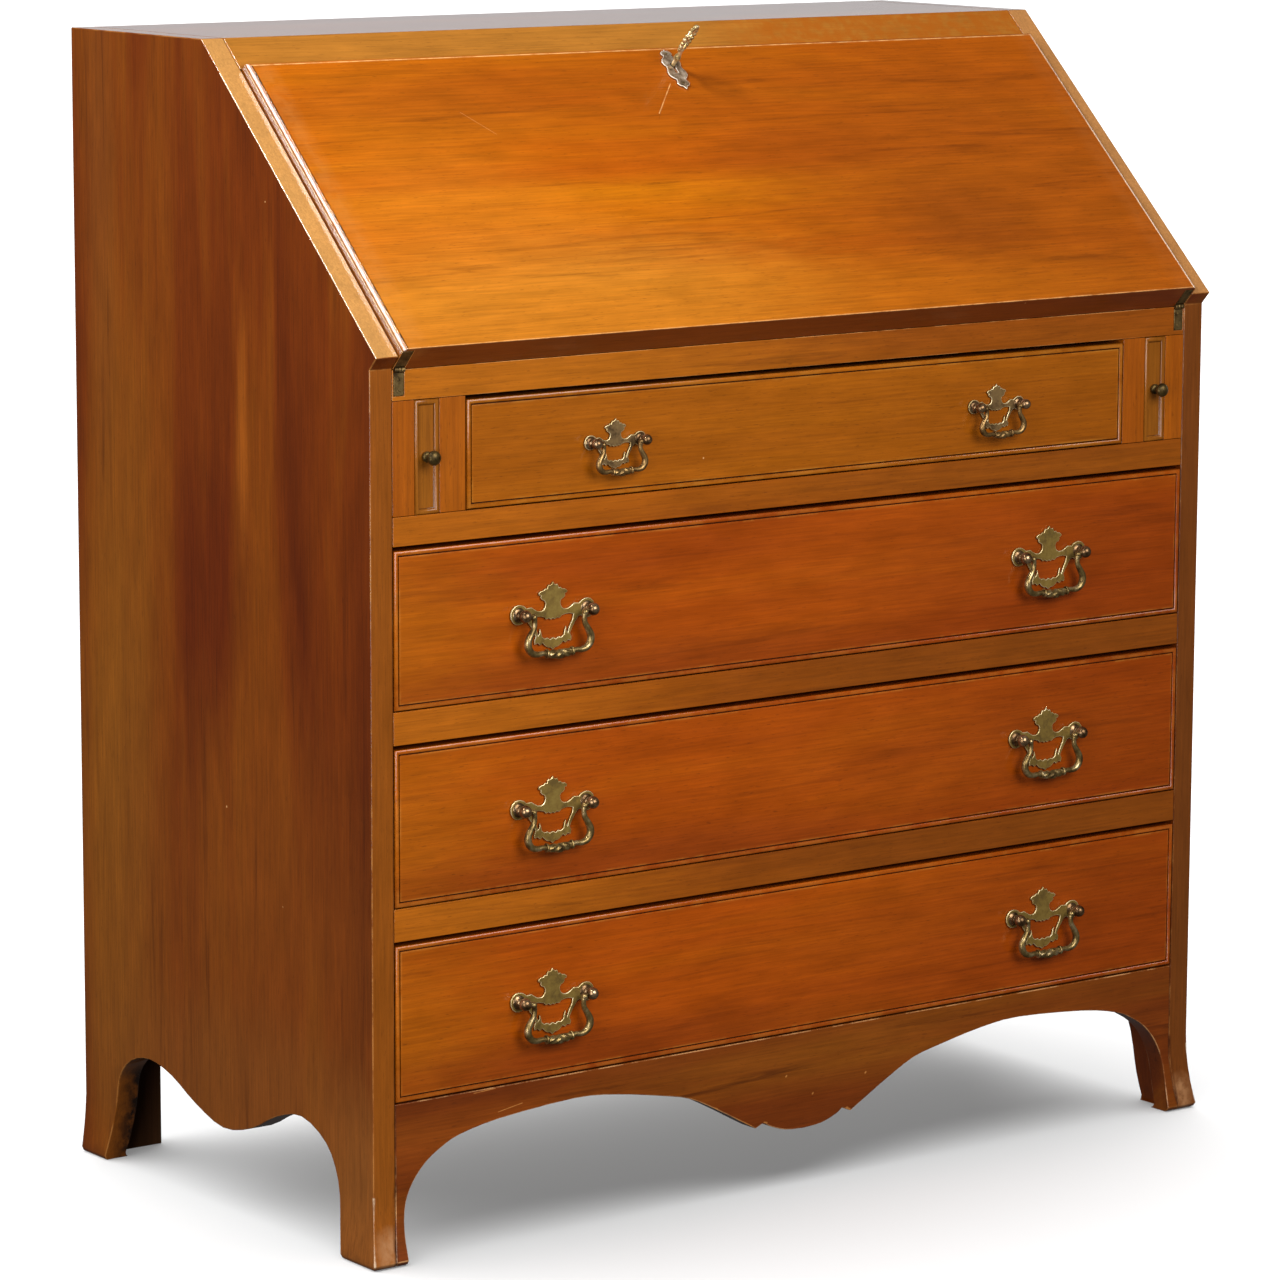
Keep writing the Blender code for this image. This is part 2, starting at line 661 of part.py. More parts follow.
def pull_plate_outline(scale):
    """Bat-wing plate: crest, ears, waist, and a lobe under each post."""
    half = [
        (0.0, 0.025), (0.0030, 0.0215), (0.0075, 0.0205), (0.0060, 0.0165), (0.0150, 0.0150),
        (0.0125, 0.0105), (0.0075, 0.0070), (0.0110, 0.0010), (0.0200, 0.0045), (0.0290, 0.0060),
        (0.0355, 0.0080), (0.0425, 0.0030), (0.0420, -0.0045), (0.0350, -0.0082),
        (0.0290, -0.0070), (0.0230, -0.0150), (0.0160, -0.0260), (0.0100, -0.0250),
        (0.0070, -0.0290), (0.0, -0.0310),
    ]
    return mirrored([(x * scale, z * scale) for x, z in curve_through(half, 2)])


def ball_radius(scale):
    """The small pulls' balls shrink less than the rest of them."""
    return BALL if scale == 1 else 0.85 * BALL


def pull_plate_mesh(size, scale):
    """Plate, two posts with ball ends and the sockets that the bail's pintles turn in."""
    name = f"{size}_pull"
    outline = pull_plate_outline(scale)
    plate = prism(f"{name}_plate", outline, "y", -PLATE_THICK, 0.0, None)
    window = [(0.0, -0.006), (0.009, -0.007), (0.016, -0.011), (0.011, -0.019), (0.0, -0.021)]
    window = mirrored([(x * scale, z * scale) for x, z in window])
    tools = [plate]
    cutter = prism(f"{name}_window", window, "y", -0.01, 0.01, None)
    cut(plate, cutter)
    tools.append(cutter)
    ball = ball_radius(scale)
    for side, sign in (("left", -1), ("right", 1)):
        profile = [(0.0005, 0), (0.0005, 0.0048), (0.0035, 0.0048), (0.0045, 0.0034)]
        start = math.asin(0.0034 / BALL)
        for i in range(6):
            angle = start + (math.pi - start) * i / 5
            radius = ball * math.sin(angle) if i < 5 else 0
            profile.append((PIVOT_OUT - ball * math.cos(angle), radius))
        post = turned(f"{name}_post_{side}", profile, "-y", (sign * POST_X * scale, 0, 0), 10, None)
        add(plate, post)
        inner = sign * (POST_X * scale - ball)
        centre = (inner, -PIVOT_OUT, 0)
        socket = [(-0.004, 0), (-0.004, 0.0017), (0.004, 0.0017), (0.004, 0)]
        hole = turned(f"{name}_socket_{side}", socket, "x", centre, 8, None)
        cut(plate, hole)
        tools += [post, hole]
    bpy.context.view_layer.update()
    evaluated = plate.evaluated_get(bpy.context.evaluated_depsgraph_get())
    mesh = bpy.data.meshes.new_from_object(evaluated)
    mesh.name = name
    for tool in tools:
        bpy.data.objects.remove(tool)
    return mesh


def bail_curve(size, scale):
    """Shaped drop handle: pintles in the posts, ogee arms, and a swollen grip."""
    ball = ball_radius(scale)
    tip = POST_X * scale - ball + 0.0033
    arm = [
        (POST_X - BALL - 0.0022, -0.0003), (0.0255, -0.0035), (0.0258, -0.0100),
        (0.0295, -0.0165), (0.0322, -0.0230), (0.0300, -0.0300), (0.0245, -0.0335),
        (0.0180, -0.0335), (0.0100, -0.0345), (0.0, -0.0350),
    ]
    radii = [0.0012, 0.0013, 0.0021, 0.0022, 0.0024, 0.0026, 0.0027, 0.0026, 0.0030, 0.0037, 0.0039]
    half = [(tip, 0.0), *[(x * scale, z * scale) for x, z in arm]]
    slimmer = ball / BALL
    thickness = [*radii[:2], *(r * slimmer for r in radii[2:])]
    points = [*half, *[(-x, z) for x, z in reversed(half[:-1])]]
    widths = [*thickness, *reversed(thickness[:-1])]
    curve = bpy.data.curves.new(f"{size}_bail", "CURVE")
    curve.dimensions = "3D"
    curve.bevel_depth = 1.0
    curve.bevel_resolution = 1
    curve.use_fill_caps = True
    curve.resolution_u = 1
    curve.render_resolution_u = 0
    spline = curve.splines.new("POLY")
    spline.points.add(len(points) - 1)
    for point, (x, z), width in zip(spline.points, points, widths):
        point.co = (x, 0, z, 1)
        point.radius = width
    return curve


def fit_pulls(drawer, name, pull_x, height, plate_mesh, bail_data):
    """A pull on each side of a drawer's front: the plate rides it, the bail swings on it."""
    for side, sign in (("left", -1), ("right", 1)):
        place = Vector((sign * pull_x, FRONT - GAP, height))
        plate = add_object(f"{name}_plate_{side}", plate_mesh.copy(), "pull")
        plate.parent = drawer
        plate.location = place - drawer.matrix_world.translation
        swing = place + Vector((0, -PIVOT_OUT, 0))
        bail = add_object(f"{name}_bail_{side}", bail_data.copy(), "pull")
        bail.parent = pivot(f"{name}_bail_pivot_{side}", swing, drawer)


def build_drawers():
    plates = {size: pull_plate_mesh(size, scale) for size, scale in PULL_SCALES.items()}
    bails = {size: bail_curve(size, scale) for size, scale in PULL_SCALES.items()}
    rows = [("lower", WIDE_ROWS[0]), ("middle", WIDE_ROWS[1]), ("upper", WIDE_ROWS[2])]
    for name, row in rows:
        label = f"{name}_drawer"
        drawer = pivot(f"{label}_slide", (0, FRONT, row))
        carry(drawer, *drawer_bodies(label, INNER, row, OPENING, 0.440))
        height = row + OPENING / 2 + 0.001
        fit_pulls(drawer, name, WIDE_PULL_X, height, plates["large"], bails["large"])
    drawer = pivot("top_drawer_slide", (0, FRONT, TOP_ROW))
    carry(drawer, *drawer_bodies("top_drawer", TOP_DRAWER_HALF, TOP_ROW, TOP_OPENING, 0.400))
    height = TOP_ROW + TOP_OPENING / 2 - 0.001
    fit_pulls(drawer, "top", TOP_PULL_X, height, plates["small"], bails["small"])


def build_lopers():
    """Slides that draw out to carry the open fall, each with a turned brass knob."""
    panel_back, knob = 0.0018, 0.0064
    for side, sign in (("left", -1), ("right", 1)):
        centre = sign * (INNER - GUIDE_WIDTH - LOPER_SLOT / 2)
        x = (centre - LOPER_SLOT / 2 + 0.0005, centre + LOPER_SLOT / 2 - 0.0005)
        z = (TOP_ROW + 0.0004, TOP_ROW + TOP_OPENING - 0.0008)
        slide = pivot(f"loper_slide_{side}", (centre, FRONT, TOP_ROW))
        face = [(0.0, LOPER_LENGTH), *LOPER_MOULDING]
        bar = moulded_front(f"loper_{side}", x, z, face, "front")
        start = panel_back - 2 * GAP
        profile = [
            (-start, 0), (-start, 0.0046), (0.0010, 0.0046), (0.0022, 0.0026), (0.0050, 0.0024),
            (0.0072, 0.0050), (0.0098, knob), (0.0125, 0.0050), (0.0140, 0),
        ]
        at = (centre, FRONT - GAP, (z[0] + z[1]) / 2)
        carry(slide, bar, turned(f"loper_knob_{side}", profile, "-y", at, 12, "pull"))


# ---- gallery ----


def build_gallery():
    """Pigeonholes in the middle, and at each end a small drawer under an open bay."""
    floor, roof = SHELF_TOP + GAP, HEIGHT - TOP_THICK - GAP
    half = INNER - 0.001
    rear = INSIDE_BACK - 0.001
    unit = box("gallery", (-half, half), (GALLERY_FRONT, rear), (floor, roof), "inside")
    mouth, end = GALLERY_FRONT - 0.01, rear - GALLERY_BACK_WALL
    low, high = floor + GALLERY_WALL, roof - GALLERY_WALL
    cells = []
    for side, sign in (("left", -1), ("right", 1)):
        bay = sorted((sign * (half - GALLERY_WALL), sign * (half - GALLERY_WALL - BAY_WIDTH)))
        cells.append((f"drawer_cell_{side}", bay, (low, low + SMALL_DRAWER)))
        cells.append((f"bay_{side}", bay, (low + SMALL_DRAWER + GALLERY_WALL, high)))
        build_gallery_drawer(side, bay, low, end)
    inner = half - 2 * GALLERY_WALL - BAY_WIDTH
    pitch = (2 * inner + GALLERY_WALL) / PIGEONHOLES
    for i in range(PIGEONHOLES):
        start = -inner + i * pitch
        cells.append((f"pigeonhole_{i + 1}", (start, start + pitch - GALLERY_WALL), (low, high)))
    for name, x, z in cells:
        cut(unit, box(name, x, (mouth, end), z))


def build_gallery_drawer(side, bay, low, end):
    """Open-topped box in one piece with its turned wooden knob."""
    x = (bay[0] + 0.0006, bay[1] - 0.0006)
    z = (low + GAP, low + SMALL_DRAWER - 0.0008)
    y = (GALLERY_FRONT, end - 0.004)
    drawer = box(f"gallery_drawer_{side}", x, y, z, "inside")
    wall = 0.006
    hollow = box(
        f"gallery_hollow_{side}",
        (x[0] + wall, x[1] - wall),
        (y[0] + 0.010, y[1] - wall),
        (z[0] + wall, z[1] + 0.01),
    )
    cut(drawer, hollow)
    centre = ((x[0] + x[1]) / 2, y[0], (z[0] + z[1]) / 2)
    profile = [
        (-0.003, 0), (-0.003, 0.0035), (0.004, 0.0035), (0.0075, 0.0075), (0.0110, 0.0080),
        (0.0140, 0.0055), (0.0150, 0),
    ]
    add(drawer, turned(f"gallery_knob_{side}", profile, "-y", centre, 10, None))
    carry(pivot(f"gallery_slide_{side}", centre), drawer)


for startup_object in list(bpy.data.objects):
    bpy.data.objects.remove(startup_object)
build_case()
build_fall()
build_drawers()
build_lopers()
build_gallery()
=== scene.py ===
"""Slant-front secretary desk: amber-varnished hardwood and antique brass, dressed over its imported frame.

Metres, +Z up. The desk faces -Y, +X is to the right of someone standing in front of it.
"""

import math

import bmesh
import bpy
from mathutils import Matrix, Vector


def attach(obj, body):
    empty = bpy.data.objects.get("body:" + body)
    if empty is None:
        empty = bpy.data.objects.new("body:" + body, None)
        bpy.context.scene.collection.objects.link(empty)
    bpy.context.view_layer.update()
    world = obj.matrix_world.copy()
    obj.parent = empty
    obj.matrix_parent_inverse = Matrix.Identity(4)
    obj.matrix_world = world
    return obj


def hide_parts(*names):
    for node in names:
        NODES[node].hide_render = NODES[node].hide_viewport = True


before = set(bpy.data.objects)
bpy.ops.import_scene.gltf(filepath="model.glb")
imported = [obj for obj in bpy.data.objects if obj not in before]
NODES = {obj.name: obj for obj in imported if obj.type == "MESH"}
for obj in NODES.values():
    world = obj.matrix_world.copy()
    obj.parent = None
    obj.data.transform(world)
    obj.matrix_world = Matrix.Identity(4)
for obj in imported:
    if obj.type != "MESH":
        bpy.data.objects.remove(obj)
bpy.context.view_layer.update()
scene = bpy.context.scene

# ---- sizes shared with the frame ----
FRONT = -0.225  # plane of the drawer fronts
HALF, INNER = 0.4572, 0.4352  # outer and inner face of a side
SLOPE = math.radians(43.05)  # the fall's lie, from level
HINGE_Z = 0.7545
FALL_THICK = 0.0254
FALL_TOP = 0.3229  # the fall's height, up the slope
FALL_HALF = 0.4344
SLANT_H = 0.0156  # the sides' slanted faces, off the fall's inner face
FASCIA_FOOT, FASCIA_HEAD = 0.324, 0.352  # the top board's sloped edge, up the slope
LOCK_S = 0.298  # the keyhole, up the slope
ROWS = {"lower": 0.1385, "middle": 0.3045, "upper": 0.4705}  # floors of the wide openings
OPENING = 0.138
TOP_ROW, TOP_OPENING, TOP_HALF = 0.633, 0.096, 0.3622
LOPER_X, LOPER_HALF = 0.4007, 0.012
WIDE_PULL_X, TOP_PULL_X = 0.2748, 0.2102
PULL_UP, TOP_PULL_Z = 0.070, 0.680  # a wide drawer's pulls above its opening's floor; the top ones
SMALL_PULL = 0.74  # the top drawer's pulls against the wide ones
PIVOT_OUT = 0.0111  # a bail's axis, out from the back of its plate


# ---- materials ----


def linear(hex_colour):
    """sRGB hex to linear, opaque."""
    out = []
    for start in (1, 3, 5):
        value = int(hex_colour[start : start + 2], 16) / 255
        out.append(value / 12.92 if value <= 0.04045 else ((value + 0.055) / 1.055) ** 2.4)
    return (*out, 1.0)


def add_node(tree, kind, inputs=None, stops=None, **settings):
    """One node with its settings; inputs maps a socket to a value or to the socket that feeds it."""
    made = tree.nodes.new("ShaderNode" + kind)
    for key, value in settings.items():
        setattr(made, key, value)
    for key, value in (inputs or {}).items():
        if isinstance(value, bpy.types.NodeSocket):
            tree.links.new(value, made.inputs[key])
        else:
            made.inputs[key].default_value = value
    if stops:
        ramp = made.color_ramp.elements
        while len(ramp) < len(stops):
            ramp.new(0.5)
        for element, (at, colour) in zip(ramp, stops):
            element.position = at
            element.color = linear(colour) if isinstance(colour, str) else (colour,) * 3 + (1,)
    return made


def new_finish(name):
    """An empty finish: the material, its tree and its shader."""
    material = bpy.data.materials.new(name)
    material.use_nodes = True
    return material, material.node_tree, material.node_tree.nodes["Principled BSDF"]


LENGTHWAYS = (0.0, 0.0, 0.0)  # grain along X
UPRIGHT = (0.0, math.radians(90), 0.0)  # grain along Z
ON_SLOPE = (-SLOPE, 0.0, 0.0)  # along X, on the fall
FORE_AND_AFT = (0.0, 0.0, math.radians(90))  # along Y


def lay_stain(tree, colour, pattern, low, high, strength, stain):
    """Lays a stain over the colour where a pattern rises from low to high."""
    share = add_node(tree, "MapRange", {"Value": pattern, "From Min": low, "From Max": high,
                                        "To Min": 0.0, "To Max": strength},
                     interpolation_type="SMOOTHSTEP").outputs[0]
    return add_node(tree, "Mix", {"Factor": share, 6: colour, 7: linear(stain)},
                    data_type="RGBA").outputs[2]


def shade_hollows(tree, colour, figure, low, high, darkest):
    """Darkens the colour in the low parts of a figure and leaves its high parts alone."""
    shade = add_node(tree, "ValToRGB", {"Fac": figure}, stops=[(low, darkest), (high, 1.0)])
    return add_node(tree, "Mix", {"Factor": 1.0, 6: colour, 7: shade.outputs["Color"]},
                    data_type="RGBA", blend_type="MULTIPLY").outputs[2]


def cloud_along_grain(tree, lie, length, across, detail, roughness, twist=0.0):
    """A cloudy figure drawn out along the grain, each cloud about that long and wide in mm."""
    stretch = (1000 / length, 1000 / across, 1000 / across)
    drawn_out = add_node(tree, "Mapping", {"Vector": lie, "Scale": stretch}).outputs[0]
    return add_node(tree, "TexNoise", {"Vector": drawn_out, "Scale": 1.0, "Detail": detail,
                                       "Roughness": roughness, "Distortion": twist}).outputs["Fac"]


def lay_patches(tree, place, lie, colour, patches):
    """Patches of another colour: on the fall, the fronts, the rails and the shelf they are painted
    light and shade; their edges wander along the grain, in tongues about 160 mm long and 30 mm wide."""
    drawn_out = add_node(tree, "Mapping", {"Vector": lie,
                                           "Scale": (1000 / 160, 1000 / 30, 1000 / 30)}).outputs[0]
    drift = add_node(tree, "TexNoise", {"Vector": drawn_out}).outputs["Color"]
    for centre, radii, tint, strength in patches:
        reach = add_node(tree, "Mapping", {"Vector": place, "Location": centre, "Scale": radii},
                         vector_type="TEXTURE").outputs[0]
        wander = add_node(tree, "Mix", {"Factor": 0.28, 4: reach, 5: drift},
                          data_type="VECTOR").outputs[1]
        ball = add_node(tree, "TexGradient", {"Vector": wander}, gradient_type="SPHERICAL")
        colour = lay_stain(tree, colour, ball.outputs["Fac"], 0.0, 0.75, strength, tint)
    return colour


def lay_dents(tree, lie, colour, strength):
    """Dents of 1 to 2 mm that broke the varnish and show pale wood, at most one in every 70 mm."""
    cells = add_node(tree, "TexVoronoi", {"Vector": lie, "Scale": 15.0, "Randomness": 1.0})
    chosen = add_node(tree, "SeparateColor", {"Color": cells.outputs["Color"]}).outputs["Red"]
    size = add_node(tree, "MapRange", {"Value": chosen, "From Min": 0.35, "From Max": 1.0,
                                       "To Min": 0.0, "To Max": 0.026},
                    interpolation_type="SMOOTHSTEP").outputs[0]
    inside = add_node(tree, "Math", {0: size, 1: cells.outputs["Distance"]},
                      operation="SUBTRACT").outputs[0]
    return lay_stain(tree, colour, inside, 0.0, 0.012, strength, "#F2B878")


def wear_arrises(tree, place, colour, rubbed, bare):
    """Bare wood where an edge's rub is above 0, in lengths of about 25 mm, and darker where it is
    below."""
    rub = add_node(tree, "Attribute", attribute_name="rub").outputs["Fac"]
    # darker where the rub is below 0, in the mouldings' quirks and hollows
    darkened = add_node(tree, "Math", {0: rub, 1: -1.0}, operation="MULTIPLY", use_clamp=True).outputs[0]
    colour = add_node(tree, "Mix", {"Factor": darkened, 6: colour, 7: linear("#3A1604")},
                      data_type="RGBA").outputs[2]
    if rubbed:
        rub = add_node(tree, "Math", {0: rub, 1: rubbed}, operation="MAXIMUM").outputs[0]
    cloud = add_node(tree, "TexNoise", {"Vector": place, "Scale": 38.0, "Detail": 5.0,
                                        "Roughness": 0.66}).outputs["Fac"]
    broken = add_node(tree, "MapRange", {"Value": cloud, "From Min": 0.40, "From Max": 0.62,
                                         "To Min": 0.05, "To Max": 1.0},
                      interpolation_type="SMOOTHSTEP").outputs[0]
    gone = add_node(tree, "Math", {0: rub, 1: broken}, operation="MULTIPLY").outputs[0]
    gone = add_node(tree, "Math", {0: gone, 1: 0.85}, operation="MULTIPLY", use_clamp=True).outputs[0]
    return add_node(tree, "Mix", {"Factor": gone, 6: colour, 7: linear(bare)},
                    data_type="RGBA").outputs[2]


def mark_strength(tree, place, start, end, width, strength):
    """How strongly a scratch or rub from one point to another shows at a place."""
    start, end = Vector(start), Vector(end)
    along = end - start
    from_start = add_node(tree, "VectorMath", {0: place, 1: start}, operation="SUBTRACT").outputs[0]
    share = add_node(tree, "VectorMath", {0: from_start, 1: along / along.length_squared},
                     operation="DOT_PRODUCT").outputs["Value"]
    share = add_node(tree, "Clamp", {"Value": share}).outputs[0]
    foot = add_node(tree, "VectorMath", {0: along, "Scale": share}, operation="SCALE").outputs[0]
    away = add_node(tree, "VectorMath", {0: from_start, 1: foot}, operation="DISTANCE")
    settings = {"Value": away.outputs["Value"], "From Min": 0.2 * width, "From Max": width,
                "To Min": strength, "To Max": 0.0}
    return add_node(tree, "MapRange", settings).outputs[0]


def lay_marks(tree, place, colour, marks):
    """Scratches and rubbed bands, frayed about every 10 mm so that none is one even line."""
    cloud = add_node(tree, "TexNoise", {"Vector": place, "Scale": 90.0, "Detail": 4.0,
                                        "Roughness": 0.62}).outputs["Fac"]
    fray = add_node(tree, "MapRange", {"Value": cloud, "From Min": 0.30, "From Max": 0.62,
                                       "To Min": 0.25, "To Max": 1.0},
                    interpolation_type="SMOOTHSTEP").outputs[0]
    for start, end, width, tint, strength in marks:
        band = mark_strength(tree, place, start, end, width, strength)
        share = add_node(tree, "Math", {0: band, 1: fray}, operation="MULTIPLY").outputs[0]
        colour = add_node(tree, "Mix", {"Factor": share, 6: colour, 7: linear(tint)},
                          data_type="RGBA").outputs[2]
    return colour


def varnished_wood(name, tones, grain=LENGTHWAYS, seed=0.0, patches=(), facing=(), marks=(),
                   streaks=0.30, rough=0.42, rubbed=0.0, bare="#E0A060", dings=0.75, gloss=1.0):
    """Close-grained hardwood, planed, stained amber and brush-varnished long ago: broad slow bands
    of colour, fine broken lines along the grain, a few dark streaks, pale dings and rubbed arrises
    under a clear coat that has gone a little soft.

    tones are the stain's dark, middle and light colours; patches are (centre, radii, colour,
    strength) for areas of another colour, painted light and shade on the fall, fronts, rails and shelf;
    facing is (direction, colour, strength) for faces turned one way that take another colour, painted
    shade on the fall's edge faces; marks are (start, end, width, colour, strength) for scratches, for
    bands that hands have rubbed, for a painted highlight and painted shade on the fall's left moulding
    and for painted shade on a side's back foot; rubbed is above 0 on a worn arris, where the wood is bare."""
    material, tree, shader = new_finish(name)
    coordinates = add_node(tree, "TexCoord")
    place = coordinates.outputs["Object"]
    lie = add_node(tree, "Mapping", {"Vector": place, "Location": (seed, seed * 0.37, seed * 0.61),
                                     "Rotation": grain}).outputs[0]
    dark, middle, light = tones
    bands = cloud_along_grain(tree, lie, 900, 75, 3, 0.5, 0.7)
    colour = add_node(tree, "ValToRGB", {"Fac": bands},
                      stops=[(0.28, dark), (0.50, middle), (0.74, light)]).outputs["Color"]
    if patches:
        colour = lay_patches(tree, place, lie, colour, patches)
    # dark mineral streaks and the stain that pooled in them
    pooled = cloud_along_grain(tree, lie, 330, 16, 5, 0.62, 1.1)
    colour = lay_stain(tree, colour, pooled, 0.57, 0.70, streaks, "#4A1C02")
    # faces turned one way take another colour; on the fall this is painted shade on its edge faces
    for direction, tint, strength in facing:
        turned_to = add_node(tree, "VectorMath", {0: coordinates.outputs["Normal"], 1: direction},
                             operation="DOT_PRODUCT").outputs["Value"]
        colour = lay_stain(tree, colour, turned_to, 0.85, 0.97, strength, tint)
    # medullary mottle, about 25 mm across
    mottle = cloud_along_grain(tree, lie, 60, 20, 3, 0.6)
    colour = shade_hollows(tree, colour, mottle, 0.3, 0.7, 0.82)
    # grain lines: real ones are 0.2 mm apart, drawn about 2 mm apart so that they show
    lines = cloud_along_grain(tree, lie, 70, 2.0, 4, 0.66, 0.4)
    colour = shade_hollows(tree, colour, lines, 0.33, 0.66, 0.74)
    # pores: real ones are 0.1 mm wide, drawn 0.9 mm wide
    pores = cloud_along_grain(tree, lie, 9, 0.9, 1, 0.5)
    colour = lay_stain(tree, colour, pores, 0.66, 0.74, 0.30, "#381604")
    colour = lay_dents(tree, lie, colour, dings)
    colour = wear_arrises(tree, place, colour, rubbed, bare)
    if marks:
        colour = lay_marks(tree, place, colour, marks)
    tree.links.new(colour, shader.inputs["Base Color"])
    shader.inputs["Coat Weight"].default_value = gloss
    shader.inputs["Coat Roughness"].default_value = 0.17
    shader.inputs["Coat IOR"].default_value = 1.55
    shader.inputs["Specular IOR Level"].default_value = 0.10
    roughness = add_node(tree, "MapRange", {"Value": mottle, "From Min": 0.2, "From Max": 0.8,
                                            "To Min": rough - 0.05, "To Max": rough + 0.08},
                         interpolation_type="SMOOTHSTEP").outputs[0]
    tree.links.new(roughness, shader.inputs["Roughness"])
    # brush ripple about 20 mm across, with the grain lines sunk a little into it
    brushed = add_node(tree, "TexNoise", {"Vector": lie, "Scale": 45.0, "Detail": 2.0,
                                          "Roughness": 0.5}).outputs["Fac"]
    sunk = add_node(tree, "Math", {0: lines, 1: 0.35}, operation="MULTIPLY").outputs[0]
    ripple = add_node(tree, "Math", {0: sunk, 1: brushed}, operation="ADD").outputs[0]
    bump = add_node(tree, "Bump", {"Height": ripple, "Strength": 0.25, "Distance": 0.0006})
    tree.links.new(bump.outputs["Normal"], shader.inputs["Normal"])
    return material


def antique_brass(name, body, rubbed_hex, hollow, rough=0.42, metallic=0.8):
    """Cast brass, filed, lacquered and long since dulled: dark patina in the hollows, rubbed
    brighter where hands reach. The tarnish is not metal, so metallic stays under 1."""
    material, tree, shader = new_finish(name)
    place = add_node(tree, "TexCoord").outputs["Object"]
    # patina in clouds about 8 mm across
    cloud = add_node(tree, "TexNoise", {"Vector": place, "Scale": 130.0, "Detail": 4.0,
                                        "Roughness": 0.62}).outputs["Fac"]
    colour = add_node(tree, "ValToRGB", {"Fac": cloud},
                      stops=[(0.34, hollow), (0.50, body), (0.72, rubbed_hex)]).outputs["Color"]
    # wax and dust that no cloth gets out of corners narrower than 4 mm
    nook = add_node(tree, "AmbientOcclusion", {"Distance": 0.004}, samples=6).outputs["AO"]
    grime = add_node(tree, "MapRange", {"Value": nook, "From Min": 0.25, "From Max": 0.85,
                                        "To Min": 0.75, "To Max": 0.0}).outputs[0]
    colour = add_node(tree, "Mix", {"Factor": grime, 6: colour, 7: linear("#2A1C0E")},
                      data_type="RGBA").outputs[2]
    tree.links.new(colour, shader.inputs["Base Color"])
    shader.inputs["Metallic"].default_value = metallic
    spread = add_node(tree, "MapRange", {"Value": cloud, "From Min": 0.3, "From Max": 0.75,
                                         "To Min": rough + 0.12, "To Max": rough - 0.06})
    tree.links.new(spread.outputs[0], shader.inputs["Roughness"])
    # skin of the sand casting: real grit is 0.2 mm, drawn about 1 mm
    fine = add_node(tree, "TexNoise", {"Vector": place, "Scale": 900.0, "Detail": 2.0}).outputs["Fac"]
    bump = add_node(tree, "Bump", {"Height": fine, "Strength": 0.25, "Distance": 0.00015})
    tree.links.new(bump.outputs["Normal"], shader.inputs["Normal"])
    return material


def plain_finish(name, hex_colour, roughness, metallic=0.0):
    """One even colour and roughness all over."""
    material, _, shader = new_finish(name)
    shader.inputs["Base Color"].default_value = linear(hex_colour)
    shader.inputs["Roughness"].default_value = roughness
    shader.inputs["Metallic"].default_value = metallic
    return material


# ---- shapes ----


def slope(s, h):
    """(y, z) of a point s up the fall and h off its inner face."""
    return (
        FRONT + s * math.cos(SLOPE) - h * math.sin(SLOPE),
        HINGE_Z + s * math.sin(SLOPE) + h * math.cos(SLOPE),
    )


def stand_on_fall(x, s, h=0.0):
    """Matrix that puts a piece drawn with X right, Z up and -Y towards the eye on the fall."""
    place = Matrix.Translation((x, *slope(s, h)))
    return place @ Matrix.Rotation(SLOPE - math.pi / 2, 4, "X")


def new_piece(name, bm, finishes, body, replaces=(), smooth=40.0):
    """Makes the piece from its mesh and hands it to the frame."""
    bmesh.ops.recalc_face_normals(bm, faces=bm.faces)
    mesh = bpy.data.meshes.new(name)
    bm.to_mesh(mesh)
    bm.free()
    for finish in finishes if isinstance(finishes, (list, tuple)) else [finishes]:
        mesh.materials.append(finish)
    mesh.shade_smooth()
    mesh.set_sharp_from_angle(angle=math.radians(smooth))
    piece = bpy.data.objects.new(name, mesh)
    scene.collection.objects.link(piece)
    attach(piece, body)
    if replaces:
        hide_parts(*replaces)
    return piece


def curve_through(points, steps=4):
    """A smooth curve through the points, ends included."""
    ends = [points[0], *points, points[-1]]
    out = []
    for p0, p1, p2, p3 in zip(ends, ends[1:], ends[2:], ends[3:]):
        for i in range(steps):
            t = i / steps
            out.append(tuple(
                0.5 * (2 * b + t * (c - a) + t * t * (2 * a - 5 * b + 4 * c - d)
                       + t**3 * (3 * b - a - 3 * c + d))
                for a, b, c, d in zip(p0, p1, p2, p3)
            ))
    return [*out, points[-1]]


def add_turned(bm, profile, place, segments=28):
    """Adds a lathe-turned solid: profile is (out, radius) from end to end, out along -Y."""
    rings = []
    for out, radius in profile:
        count = segments if radius > 1e-7 else 1
        ring = []
        for i in range(count):
            angle = 2 * math.pi * i / segments
            point = Vector((radius * math.cos(angle), -out, radius * math.sin(angle)))
            ring.append(bm.verts.new(place @ point))
        rings.append(ring)
    for ring, following in zip(rings, rings[1:]):
        for i in range(segments):
            j = (i + 1) % segments
            corners = [ring[i % len(ring)], ring[j % len(ring)],
                       following[j % len(following)], following[i % len(following)]]
            corners = list(dict.fromkeys(corners))
            if len(corners) > 2:
                bm.faces.new(corners)


def add_rod(bm, points, radii, place, sides=14, carve=None):
    """Adds a bent rod in the XZ plane; carve(i, angle) swells or sinks its surface."""
    rings = []
    for i, ((x, z), radius) in enumerate(zip(points, radii)):
        before, after = points[max(i - 1, 0)], points[min(i + 1, len(points) - 1)]
        run = Vector((after[0] - before[0], 0, after[1] - before[1])).normalized()
        out = Vector((-run.z, 0, run.x))
        ring = []
        for k in range(sides):
            angle = 2 * math.pi * k / sides
            r = radius * (carve(i, angle) if carve else 1.0)
            offset = out * (r * math.cos(angle)) + Vector((0, r * math.sin(angle), 0))
            ring.append(bm.verts.new(place @ (Vector((x, 0, z)) + offset)))
        rings.append(ring)
    bm.faces.new(rings[0][::-1])
    bm.faces.new(rings[-1])
    for ring, following in zip(rings, rings[1:]):
        for k in range(sides):
            j = (k + 1) % sides
            bm.faces.new((ring[k], ring[j], following[j], following[k]))


